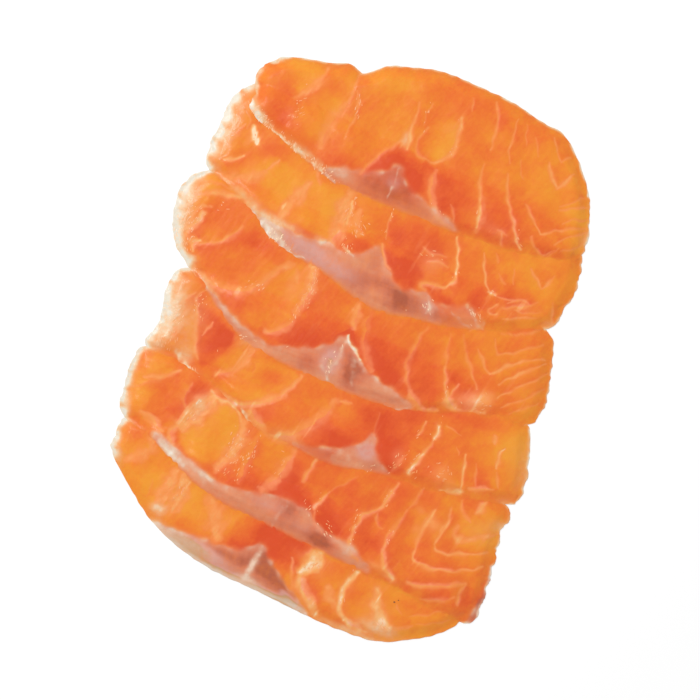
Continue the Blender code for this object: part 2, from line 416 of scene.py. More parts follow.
def spread_outwards(field, known):
    """Fills the unknown rim of a grid from the known cells next to it."""
    field = np.where(known, field, 0.0)
    known = known.astype(float)
    while known.min() < 0.5:
        wide_field, wide_known = np.pad(field * known, 1), np.pad(known, 1)
        sides = ((0, 1), (2, 1), (1, 0), (1, 2))
        rows, columns = field.shape
        total = sum(wide_field[r:r + rows, c:c + columns] for r, c in sides)
        count = sum(wide_known[r:r + rows, c:c + columns] for r, c in sides)
        grown = (known < 0.5) & (count > 0.5)
        field = np.where(grown, total / np.maximum(count, 1), field)
        known = np.where(grown, 1.0, known)
    return field


COARSE = 2


def filled_between(field):
    """A field known on every second grid line, with the lines between filled in."""
    rows, columns = field.shape
    fine = np.zeros((COARSE * rows - 1, COARSE * columns - 1))
    fine[::2, ::2] = field
    fine[1::2, ::2] = (field[1:] + field[:-1]) / 2
    fine[:, 1::2] = (fine[:, :-1:2] + fine[:, 2::2]) / 2
    return fine


FAN_MIDDLE = np.array([-0.51, -0.09])
RAY_HEIGHT = 40.0
SAFE_INSET = 1.3
SMOOTHING_CELLS = 4


def height_of(mesh, grid, start, direction):
    """How high a mesh is, in millimetres, where rays along Z meet it over every second line of a grid."""
    tree = BVHTree.FromPolygons([v.co for v in mesh.vertices], [tuple(p.vertices) for p in mesh.polygons])
    places = (grid[::COARSE, ::COARSE] - FAN_MIDDLE) * MM
    field = np.full(places.shape[:2], np.nan)
    for cell in np.ndindex(field.shape):
        hit = tree.ray_cast(Vector((*places[cell], start * MM)), Vector((0, 0, direction)))[0]
        if hit is not None:
            field[cell] = hit.z / MM
    return field


def solid_heights(node, grid, edge_distance):
    """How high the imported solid's top and underside are over the grid, in millimetres, without facets."""
    inset = edge_distance[::COARSE, ::COARSE]
    heights = []
    for start, direction in ((RAY_HEIGHT, -1), (-RAY_HEIGHT, 1)):
        field = height_of(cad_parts[node].data, grid, start, direction)
        known = ~np.isnan(field) & (inset > SAFE_INSET)
        level = smoothed(spread_outwards(np.nan_to_num(field), known), SMOOTHING_CELLS)
        heights.append(filled_between(level))
    return heights


# A stroke of the paint, in shares of its own width, and the shade that it leaves on the flake beside it.
FLAKE_REACH = 5.0
WALL_WIDTH = 2.5
CORE_WIDTH = 0.63
CORE_STEEPNESS = 2
WALL_STEEPNESS = 2.6
HALO_WIDTH = 1.2
HALO_STRENGTH = 0.35
WIDTH_SWELL = 0.2
STRENGTH_SWELL = 0.15
THIN_END = 0.6
RAGGED = 0.05
RAG_START = 0.3
CRAGS = 0.9
CRAGGY_WIDTH = 1.4


def lines(points, strokes, seed):
    """How strongly strokes mark each point, the shade beside them, the way they run, and how torn they are.

    A stroke is a width, a strength at each end, and its knots from the flesh edge down to the skin edge.
    """
    marked = np.zeros(len(points))
    shade = np.zeros(len(points))
    closest = np.full(len(points), 1e9)
    way = np.tile([0.0, -1.0], (len(points), 1))
    swell = 1 + WIDTH_SWELL * ripple(points, 3.5, seed)
    rag = ripple(points, 1.1, seed + 2)
    crags = np.zeros(len(points))
    fade = 1 + STRENGTH_SWELL * ripple(points, 2.5, seed + 1)
    for width, first, last, knots in strokes:
        line = smooth_line(knots)
        reach = max(4 * width, 2.5 * FLAKE_REACH)
        close_by = (points > line.min(0) - reach) & (points < line.max(0) + reach)
        near = np.flatnonzero(close_by.all(axis=1))
        away, share, side = nearest(points[near], line)
        away = np.maximum(away + RAGGED * min(width, 4) * rag[near] * eased(away / RAG_START), 0)
        taper = THIN_END + (1 - THIN_END) * eased(3 * share) * eased(3 * (1 - share))
        wide = width * swell[near] * taper
        strength = (first + (last - first) * share) * fade[near]
        steepness = CORE_STEEPNESS if width < WALL_WIDTH else WALL_STEEPNESS
        core = np.exp(-(away / (CORE_WIDTH * wide)) ** steepness)
        halo = HALO_STRENGTH * bell(away, HALO_WIDTH * wide)
        marked[near] = np.maximum(marked[near], strength * np.maximum(core, halo))
        craggy = CRAGS * np.clip((width - CRAGGY_WIDTH) / 2, 0, 1)
        crags[near] = np.maximum(crags[near], craggy * core * strength)
        ends = eased(6 * share) * eased(6 * (1 - share))
        shade[near] += min(width / 2, 1) * side * ends * np.exp(-away / FLAKE_REACH)
        closer = away < closest[near]
        at = share[closer] * (len(line) - 1)
        headings = [np.interp(at, np.arange(len(line)), part) for part in np.gradient(line, axis=0).T]
        way[near[closer]] = np.stack(headings, axis=1)
        closest[near[closer]] = away[closer]
    return marked, np.clip(shade, -1, 1), way, crags


def patches(points, spots):
    """The sum of soft patches, each an amount, a half length, a half width, a turn and a place."""
    total = np.zeros(len(points))
    for amount, long, wide, turn, x, y in spots:
        c, s = math.cos(math.radians(turn)), math.sin(math.radians(turn))
        dx, dy = points[:, 0] - x, points[:, 1] - y
        total += amount * bell(dx * c + dy * s, long) * bell(dy * c - dx * s, wide)
    return total


def closed_sheet(name, top, under):
    """A closed mesh from two height grids of points, the underside with half as many lines each way."""
    upper = np.arange(ROWS * COLUMNS).reshape(ROWS, COLUMNS)
    lower = np.full((ROWS, COLUMNS), -1)
    kept = np.zeros((ROWS, COLUMNS), bool)
    kept[COARSE:-1:COARSE, COARSE:-1:COARSE] = True
    lower[kept] = ROWS * COLUMNS + np.arange(kept.sum())
    for edge in (np.s_[0, :], np.s_[-1, :], np.s_[:, 0], np.s_[:, -1]):
        lower[edge] = upper[edge]
    corners = (upper[:-1, :-1], upper[:-1, 1:], upper[1:, 1:], upper[1:, :-1])
    faces = np.stack([corner.ravel() for corner in corners], axis=1).tolist()
    around = ((0, 0), (1, 0), (2, 0), (2, 1), (2, 2), (1, 2), (0, 2), (0, 1))
    for i in range(0, ROWS - 1, COARSE):
        for j in range(0, COLUMNS - 1, COARSE):
            ring = (lower[i + di, j + dj] for di, dj in around)
            faces.append([int(index) for index in ring if index >= 0])
    mesh = bpy.data.meshes.new(name)
    mesh.from_pydata(np.vstack([top.reshape(-1, 3), under[kept]]), [], faces)
    mesh.shade_smooth()
    return mesh, np.concatenate([upper.ravel(), upper[kept]])


# The paint of a slice. Each pair in RIM_PALENESS is how pale a side's rim is and how far in that reaches:
# the skin edge, the back end, the flesh edge, and the belly end twice, for its white rim and its veil.
WANDER = 0.35
BEADED = 0.5
BEAD_STRENGTH = 0.85
BEAD_UNEVENNESS = 0.28
BRIGHTEST_BEAD = 1.2
TONE_UNEVENNESS = 0.05
FLAKE_SHADE = 0.18
BAND_REDNESS = 0.1
BAND_REACH = 4.0
BAND_BORDER = 0.16
BAND_BORDER_WIDTH = 1.4
# The pale rims are partly the fat's own colour and partly painted light, the white plate shining through
# the thin edges.
RIM_PALENESS = ((0.10, 0.7), (0.35, 0.7), (0.45, 0.7), (0.72, 1.7), (0.22, 4.6))
RIM_UNEVENNESS = 0.7
BRIGHT_FAT = 0.7
FLECKS_ON_BRIGHT_FAT = 0.8


def painted_layers(points, runs, paint, seed):
    """What each point of a slice is: how red its flesh, how fat, how silvery, how pale, how flecked."""
    from_sides = [nearest(points, run)[0] for run in runs]
    wander = np.stack([ripple(points, 3.0, seed), ripple(points, 3.0, seed + 1)], axis=1) * WANDER
    wandered = points + wander
    fat, shade, way, crags = lines(wandered, paint["veins"], seed + 6)
    fat = fat + patches(points, paint["blush"])
    lip, _, _, _ = lines(wandered + BEADED * wander[:, ::-1], paint["lips"], seed + 8)
    beads = BEAD_STRENGTH + BEAD_UNEVENNESS * ripple(points, 1.3, seed + 9)
    lip *= np.clip(beads, 0, BRIGHTEST_BEAD)
    base, spots = paint["tone"]
    tone = base + patches(points, spots) + FLAKE_SHADE * shade
    tone += TONE_UNEVENNESS * ripple(points, 5.0, seed + 2)
    for softness, amount, knots in paint["zones"]:
        tone += amount * eased(depth_inside(wandered, smooth_line(knots, closed=True)) / softness + 0.5)
    band = np.zeros(len(points))
    border = np.zeros(len(points))
    for softness, strength, knots in paint["bands"]:
        depth = depth_inside(wandered, smooth_line(knots, closed=True))
        band = np.maximum(band, strength * eased(depth / softness + 0.5))
        border = np.maximum(border, bell(depth, BAND_BORDER_WIDTH))
        tone += BAND_REDNESS * np.exp(-np.maximum(-depth, 0) / BAND_REACH)
    base, spots = paint["dusk"]
    from_rims = [*from_sides, from_sides[-1]]
    # Pale rims: partly the fat's own colour, partly painted light coming through the thin edges.
    rim = sum(amount * bell(away, width) for (amount, width), away in zip(RIM_PALENESS, from_rims))
    uneven = 1 + RIM_UNEVENNESS * ripple(points, 3.0, seed + 3)
    pale = patches(points, paint["pale"]) + lip + (rim + BAND_BORDER * border) * uneven
    flecked = np.clip(patches(points, paint["flecks"]), 0, None)
    layers = {
        "tone": tone,
        "fat": fat,
        "band": band,
        "dusk": base + patches(points, spots),
        "silver": np.clip(patches(points, paint["grey"]), 0, 1),
        "pale": np.clip(pale, 0, 1),
        "fleck": flecked + FLECKS_ON_BRIGHT_FAT * eased(4 * (fat - BRIGHT_FAT)),
        "crag": np.clip(crags + patches(points, paint["crags"]) + lip, 0, 1),
    }
    return layers, lip, way


# The edges of a slice and the relief of its top, in millimetres, and what shows through its thin edge.
EDGE_SHARE = 0.16
EDGE_WIDTH = 5.5
RIM_RADIUS = 0.5
RIM_HEIGHT = 0.4
SUNK = 0.22
BROAD_SWELL = 0.09
FINE_SWELL = 0.03
SWELL_DROP = 0.06
HIGHEST_SWELL = 0.05
FAT_GROOVE = 0.16
BAND_HOLLOW = 0.1
LIP_HEIGHT = 0.12
WOBBLE = 0.14
TORN_BACK = 0.4
TORN_BELLY = 0.3
TORN_REACH = 3
FINE_TEAR = 0.5
BROAD_TEAR = 0.8
OVERLAP_SOFTNESS = 2.5
DOUBLE_LAYER_SHADE = 0.08
EDGE_FADE = 1.35
laid = {}


def lay_slice(name, sides, shown, below, seed, **paint):
    """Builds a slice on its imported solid, paints its flesh, and puts it in the solid's place."""
    runs, grid = plan(*sides, shown)
    points = grid.reshape(-1, 2)
    edge_distance = np.minimum.reduce([nearest(points, run)[0] for run in runs])
    layers, lip, way = painted_layers(points, runs, paint, seed)
    if below:
        lower_runs, lower_paint, lower_seed, lower_mesh = laid[below]
        depth = depth_inside(points, np.vstack(lower_runs)[::2])
        # Painted shade: the flesh is a little redder where it lies over the slice below, as two layers let
        # less light through.
        layers["tone"] += DOUBLE_LAYER_SHADE * eased(depth / OVERLAP_SOFTNESS + 0.5)
        thin = (edge_distance < 3 * EDGE_FADE) & (depth > 0)
        seen, _, _ = painted_layers(points[thin], lower_runs, lower_paint, lower_seed)
        share = bell(edge_distance[thin], EDGE_FADE)
        share *= np.clip(depth[thin] / 2, 0, 1) * np.clip(1 - 2 * lip[thin], 0, 1)
        for layer in ("tone", "fat", "band", "dusk", "silver", "pale", "crag"):
            layers[layer][thin] += share * (seen[layer] - layers[layer][thin])

    inset = edge_distance.reshape(ROWS, COLUMNS)
    top, under = (field.ravel() for field in solid_heights(name, grid, inset))
    solid_thickness = top - under
    if below:
        rest = np.nan_to_num(height_of(lower_mesh, grid, RAY_HEIGHT, -1))
        rest = filled_between(smoothed(rest, SMOOTHING_CELLS // 2)).ravel()
        under = np.clip(rest - SUNK, 0, under)
    thickness = solid_thickness * (EDGE_SHARE + (1 - EDGE_SHARE) * eased(edge_distance / EDGE_WIDTH))
    swell = BROAD_SWELL * ripple(points, 6.0, seed + 4) + FINE_SWELL * ripple(points, 2.0, seed + 5)
    cut = FAT_GROOVE * np.clip(layers["fat"], 0, 1) + BAND_HOLLOW * layers["band"]
    relief = swell - SWELL_DROP - cut + LIP_HEIGHT * np.clip(lip, 0, 1)
    top = under + thickness + np.minimum(relief, HIGHEST_SWELL) * eased(edge_distance / 2)
    middle = under + RIM_HEIGHT * (top - under)
    roundness = np.sqrt(1 - (1 - np.clip(edge_distance / RIM_RADIUS, 0, 1)) ** 2)
    top = middle + (top - middle) * roundness
    under = middle - (middle - under) * roundness

    uneven = np.stack([ripple(points, 2.4, seed + 10), ripple(points, 2.4, seed + 11)], axis=1) * WOBBLE
    tear = FINE_TEAR * ripple(points, 1.3, seed + 12) + BROAD_TEAR * ripple(points, 3.2, seed + 13)
    for run, torn in ((runs[1], TORN_BACK), (runs[3], TORN_BELLY)):
        uneven[:, 0] += torn * bell(nearest(points, run)[0], TORN_REACH) * tear
    place = (points - FAN_MIDDLE + uneven).reshape(ROWS, COLUMNS, 2)
    top_points, under_points = (
        np.dstack([place, height.reshape(ROWS, COLUMNS)]) * MM for height in (top, under))
    mesh, source = closed_sheet(name + "_flesh", top_points, under_points)
    laid[name] = (runs, paint, seed, mesh)
    for layer, values in layers.items():
        mesh.attributes.new(layer, "FLOAT", "POINT").data.foreach_set("value", values[source])
    grain = np.column_stack([way, np.zeros(len(way))])[source]
    mesh.attributes.new("grain", "FLOAT_VECTOR", "POINT").data.foreach_set("vector", grain.ravel())
    mesh.materials.append(flesh)

    piece = bpy.data.objects.new(name + "_flesh", mesh)
    bpy.context.scene.collection.objects.link(piece)
    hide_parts(name)
    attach(piece, "root")
    strew_flecks(piece, name + "_flecks", seed)


# Flecks of fat
# Where the knife tears the sheets of fat, wet white crumbs of it stay on the cut, their white partly
# painted highlight. They are 1.7 mm long at most, lie along the sheet that they come from, and catch the
# light.
FLECK_SUBDIVISIONS = 2
FLECKS_IN_A_SQUARE_METRE = 8e5
SMALLEST_FLECK = (0.2 * MM, 0.08 * MM, 0.02 * MM)
LARGEST_FLECK = (0.85 * MM, 0.22 * MM, 0.06 * MM)
FLECK_SCATTER = 0.4
OILY_FLECK = linear(244, 156, 92)
GLINT_WHITE_FLECK = linear(252, 222, 188)
FLECK_PATCHES = 260
FLECK_CONTRAST = 1.2
FLECK_OILINESS = 0.45
GLINT_WHITE_ON_RIMS = 0.7
GLINT_WHITE_ON_BAND = 0.6
FLECK_ROUGHNESS = 0.3
FLECK_SHINE = 0.3


def glint_and_fat_fleck_material():
    """Crumbs of fat, oily and orange or white; the white is partly painted highlight, strongest on the rims
    and on the skin band.
    """
    material = bpy.data.materials.new("fat_flecks_and_glints")
    material.use_nodes = True
    tree = material.node_tree
    shader = tree.nodes["Principled BSDF"]
    start = Wire(tree)
    place = start.node("ShaderNodeTexCoord", {}, {}, 3)
    patch = start.node("ShaderNodeTexNoise", {}, {"Vector": place, "Scale": FLECK_PATCHES, "Detail": 2})
    # Painted highlight: the crumbs are whitened as glints, most on the pale rims and on the skin band.
    white = patch * FLECK_CONTRAST - FLECK_OILINESS
    white += start.painted("pale") * GLINT_WHITE_ON_RIMS + start.painted("band") * GLINT_WHITE_ON_BAND
    white.clamped().mix(OILY_FLECK, GLINT_WHITE_FLECK).feed(shader, "Base Color")
    shader.inputs["Roughness"].default_value = FLECK_ROUGHNESS
    shader.inputs["Specular IOR Level"].default_value = FLECK_SHINE
    return material


def fleck_tree(material):
    """Geometry Nodes that strew flattened crumbs over a slice, as thickly as its fleck attribute says."""
    tree = bpy.data.node_groups.new("fat_flecks_and_glints", "GeometryNodeTree")
    tree.interface.new_socket("Slice", in_out="INPUT", socket_type="NodeSocketGeometry")
    tree.interface.new_socket("Flecks", in_out="OUTPUT", socket_type="NodeSocketGeometry")
    for name, kind in (("Flecks in a square metre", "Float"), ("Smallest", "Vector"), ("Largest", "Vector"),
                       ("Scatter", "Float"), ("Seed", "Int")):
        tree.interface.new_socket(name, in_out="INPUT", socket_type="NodeSocket" + kind)
    slice_mesh = Wire(tree).node("NodeGroupInput", {}, {})
    density, smallest, largest, scatter, seed = (slice_mesh.sibling(k) for k in range(1, 6))

    def attribute(name, kind):
        return slice_mesh.node("GeometryNodeInputNamedAttribute", {"data_type": kind}, {"Name": name})

    def vector_maths(operation, *values):
        return slice_mesh.node("ShaderNodeVectorMath", {"operation": operation}, dict(enumerate(values)))

    def random_vector(low, high, draw):
        inputs = {0: low, 1: high, 8: seed + draw}
        return slice_mesh.node("FunctionNodeRandomValue", {"data_type": "FLOAT_VECTOR"}, inputs)

    points = slice_mesh.node("GeometryNodeDistributePointsOnFaces", {}, {
        "Mesh": slice_mesh, "Density": attribute("fleck", "FLOAT") * density, "Seed": seed})
    strayed = slice_mesh.node("ShaderNodeVectorMath", {"operation": "SCALE"}, {
        0: random_vector((-1, -1, 0), (1, 1, 0), 1), 3: scatter})
    facing = vector_maths("ADD", vector_maths("NORMALIZE", attribute("grain", "FLOAT_VECTOR")), strayed)
    turned = slice_mesh.node("FunctionNodeAxesToRotation", {}, {0: points.sibling(1), 1: facing})
    crumb = slice_mesh.node("GeometryNodeMeshIcoSphere", {}, {
        "Radius": 1.0, "Subdivisions": FLECK_SUBDIVISIONS})
    strewn = slice_mesh.node("GeometryNodeInstanceOnPoints", {}, {
        "Points": points, "Instance": crumb, "Rotation": turned,
        "Scale": random_vector(smallest, largest, 2)})
    real = slice_mesh.node("GeometryNodeRealizeInstances", {}, {"Geometry": strewn})
    smooth = slice_mesh.node("GeometryNodeSetShadeSmooth", {}, {"Geometry": real})
    finished = slice_mesh.node("GeometryNodeSetMaterial", {}, {"Geometry": smooth, "Material": material})
    slice_mesh.node("NodeGroupOutput", {}, {0: finished})
    return tree


fleck_nodes = fleck_tree(glint_and_fat_fleck_material())


def strew_flecks(slice_piece, name, seed):
    """Lays the crumbs of fat on a slice, as a plain mesh that rides with it."""
    carrier = bpy.data.objects.new(name + "_carrier", slice_piece.data)
    bpy.context.scene.collection.objects.link(carrier)
    modifier = carrier.modifiers.new("flecks", "NODES")
    modifier.node_group = fleck_nodes
    wanted = {
        "Flecks in a square metre": FLECKS_IN_A_SQUARE_METRE,
        "Smallest": SMALLEST_FLECK,
        "Largest": LARGEST_FLECK,
        "Scatter": FLECK_SCATTER,
        "Seed": seed,
    }
    for socket in fleck_nodes.interface.items_tree:
        if socket.name in wanted:
            modifier[socket.identifier] = wanted[socket.name]
    bpy.context.view_layer.update()
    mesh = bpy.data.meshes.new_from_object(carrier.evaluated_get(bpy.context.evaluated_depsgraph_get()))
    bpy.data.objects.remove(carrier)
    mesh.name = name
    piece = bpy.data.objects.new(name, mesh)
    bpy.context.scene.collection.objects.link(piece)
    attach(piece, "root")


# Slice 6, the lowest
# It lies flat on the plate. Its skin edge faces down the fan, with a brown band where the dark muscle
# under the skin was trimmed, and a silver-grey rim of skin.
lay_slice(
    "slice_6",
    sides=(
        [(-70.5, -76.5), (-57, -88), (-43, -97), (-23, -103), (0, -104.6), (28, -106.2), (50, -105),
         (64, -98.3), (71, -93.5), (77, -86.3)],
        [(77, -76)],
        [(70, -66), (40, -62), (5, -61), (-35, -60.5), (-60, -59.5)],
        [(-70.8, -62.5), (-71.8, -70)],
    ),
    shown=0.62,
    below=None,
    seed=60,
    tone=(0.3, [
        (0.25, 4, 6, 0, -64, -67), (-0.15, 5, 5, 0, -66, -74), (-0.2, 8, 5, -20, -53, -80),
        (-0.45, 6, 7, 0, -37, -82), (0.12, 9, 3, -12, -34, -92.5), (-0.15, 4, 5, 0, -18, -83),
        (0.35, 10, 3, 12, -13, -91), (0.6, 7, 7, 0, -3, -83), (0.28, 7, 6, 0, 7, -87),
        (0.1, 6, 5, 0, 24, -86), (0.4, 7, 3, -20, 21, -97), (0.02, 5, 8, 0, 38, -90),
        (0.3, 12, 3, 3, 38, -103), (0.05, 14, 4, 22, 66, -86), (-0.12, 6, 5, 0, 50, -87),
        (0.3, 6, 3, 0, 8, -82), (0.12, 6, 4, 0, 28, -83), (-0.25, 5, 4, 0, -45, -88),
        (-0.2, 6, 4, 0, 46, -101), (0.12, 4, 4, 0, 12, -82), (0.13, 4, 3, 0, 36, -82),
        (-0.12, 4, 4, 0, 52, -98), (0.1, 4, 3, 0, 12, -98),
    ]),
    zones=[
        (2.7, 0.17, [(-12, -79), (14, -80.5), (12, -86), (11, -93), (6, -96), (1, -92), (-3.5, -87.5),
                     (-8, -91), (-14, -93), (-17, -88)]),
    ],
    veins=[
        (4.4, 0.42, 0.4, [(-58, -66), (-57, -70), (-60, -74), (-64, -77)]),
        (5.4, 0.5, 0.52, [(-45, -74), (-45, -80), (-46, -85), (-45, -90)]),
        (5.6, 0.52, 0.5, [(-41, -74), (-40, -80), (-40, -85), (-43, -89)]),
        (7.0, 0.42, 0.5, [(-28, -79), (-25, -83), (-23, -87), (-21, -91)]),
        (1.2, 0.2, 0.2, [(-52, -80), (-51, -87)]),
        (6.2, 0.75, 0.95, [(18, -81), (17, -86), (14.5, -91)]),
        (4.6, 0.68, 0.6, [(14, -91), (15, -95), (19, -99), (25, -104)]),
        (1.6, 0.45, 0.4, [(9, -88), (11, -93), (13, -97)]),
        (2.5, 0.85, 0.8, [(33.5, -83), (32, -88), (31.5, -93), (32.5, -98), (36, -102)]),
        (3.0, 0.7, 0.65, [(36, -101.5), (40, -103), (45, -103.5)]),
        (4.4, 0.44, 0.44, [(26, -93), (30, -98)]),
        (4.8, 0.66, 0.82, [(43.5, -87), (45, -91.5), (48, -95.5), (53, -98.5)]),
        (1.4, 0.4, 0.35, [(53, -98.5), (57, -96.5), (61, -94)]),
        (1.0, 0.35, 0.3, [(52, -89), (55.5, -91.5)]),
        (1.0, 0.3, 0.25, [(58, -91), (64, -88), (70, -84)]),
        (1.0, 0.25, 0.25, [(62, -93), (68, -90), (73, -87)]),
    ],
    bands=[
        (2.6, 0.92, [(-46, -96), (-38, -95), (-30, -94.5), (-24, -94), (-16, -93.5), (-9, -91),
                     (-4, -87.5), (0, -90.5), (6, -95), (12, -99), (20, -104), (20, -109), (-20, -108),
                     (-45, -100)]),
    ],
    dusk=(0.5, [(0.25, 10, 2, 0, -16, -96), (0.6, 9, 3.4, -12, 5, -97.5), (0.8, 5, 3.4, 0, 0, -91.5),
                (0.15, 5, 3, 0, 12, -98), (-0.2, 8, 2, 0, -26, -99)]),
    grey=[(0.58, 14, 3.2, -12, -28, -98), (-0.4, 7, 3.2, -12, 4, -97), (0.55, 6, 1.6, -30, 14, -103),
          (0.9, 16, 1.8, -14, -30, -101.6), (1.1, 24, 1.5, -1, 0, -104), (0.6, 12, 1.2, 2, 30, -105.5),
          (0.5, 5, 1.6, -20, -43, -96.5)],
    pale=[(0.25, 14, 3, -8, -28, -98), (0.45, 4, 2, 10, -46, -89.5), (0.2, 3, 4, 20, -45, -91),
          (0.35, 18, 1.4, 0, 38, -105), (0.45, 9, 3, 0, 49, -100), (0.4, 2, 6, 30, -69, -75),
          (0.3, 6, 1.8, -10, -42, -96), (0.4, 1.5, 7, -6, -4.2, -96), (0.4, 6, 1.8, 0, -3.5, -102)],
    lips=[(2.6, 0.12, 0.2, [(-3.6, -90), (-4.2, -95), (-5, -100)])],
    blush=[(0.25, 6, 3, 0, 47, -99)],
    crags=[(0.6, 5, 9, 0, -42, -83), (0.4, 3, 6, 0, -23, -86), (0.5, 3, 5, 0, -68, -72),
           (0.5, 5, 3, 0, 50, -98)],
    flecks=[(0.8, 1.5, 4, 0, -40, -79), (0.6, 2, 4, -20, 15.5, -88), (0.6, 0.8, 4, 0, 32.5, -87)],
)

# Two specks
# A pair of tiny dark crumbs of spice from the cure lies on the lowest slice. Each is flat and uneven,
# widest where the moist flesh holds it.
SPECKS = ((51.1, -88.2, 0.38), (52.3, -87.0, 0.26))
SPECK_SIDES = 12
SPECK_RINGS = ((1.0, -0.05), (0.9, 0.08), (0.4, 0.16))
SPECK_UNEVENNESS = 0.25
SPECK_FLATTENING = 0.8
SPICE_GRAIN = 3000
SPICE_PATCHES = (0.35, 0.65)
DARK_SPICE = linear(88, 48, 22)
LIGHT_SPICE = linear(132, 74, 34)
specks = bpy.data.meshes.new("specks")
speck_points, speck_faces = [], []
turns = np.linspace(0, 2 * np.pi, SPECK_SIDES, endpoint=False)
circle = np.stack([np.cos(turns), SPECK_FLATTENING * np.sin(turns)], axis=1)
for x, y, size in SPECKS:
    height = height_of(laid["slice_6"][3], np.full((1, 1, 2), (x, y)), RAY_HEIGHT, -1)[0, 0]
    uneven = size * (1 + SPECK_UNEVENNESS * np.sin(3 * turns + x))
    start = len(speck_points)
    for wide, high in SPECK_RINGS:
        places = np.array([x, y]) - FAN_MIDDLE + wide * uneven[:, None] * circle
        speck_points += [(*place * MM, (height + high) * MM) for place in places]
    rings = [list(range(k, k + SPECK_SIDES)) for k in range(start, len(speck_points), SPECK_SIDES)]
    for lower, upper in zip(rings, rings[1:]):
        speck_faces += [(lower[k], lower[k - SPECK_SIDES + 1], upper[k - SPECK_SIDES + 1], upper[k])
                        for k in range(SPECK_SIDES)]
    speck_faces += [rings[0][::-1], rings[-1]]
specks.from_pydata(speck_points, [], speck_faces)
specks.shade_smooth()
spice = bpy.data.materials.new("spice")
spice.use_nodes = True
place = Wire(spice.node_tree).node("ShaderNodeTexCoord", {}, {}, 3)
grain = place.node("ShaderNodeTexNoise", {}, {"Vector": place, "Scale": SPICE_GRAIN, "Detail": 1})
spice_colour = grain.between(*SPICE_PATCHES).mix(DARK_SPICE, LIGHT_SPICE)
spice_colour.feed(spice.node_tree.nodes["Principled BSDF"], "Base Color")
specks.materials.append(spice)
specks_piece = bpy.data.objects.new("slice_6_specks", specks)
bpy.context.scene.collection.objects.link(specks_piece)
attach(specks_piece, "root")

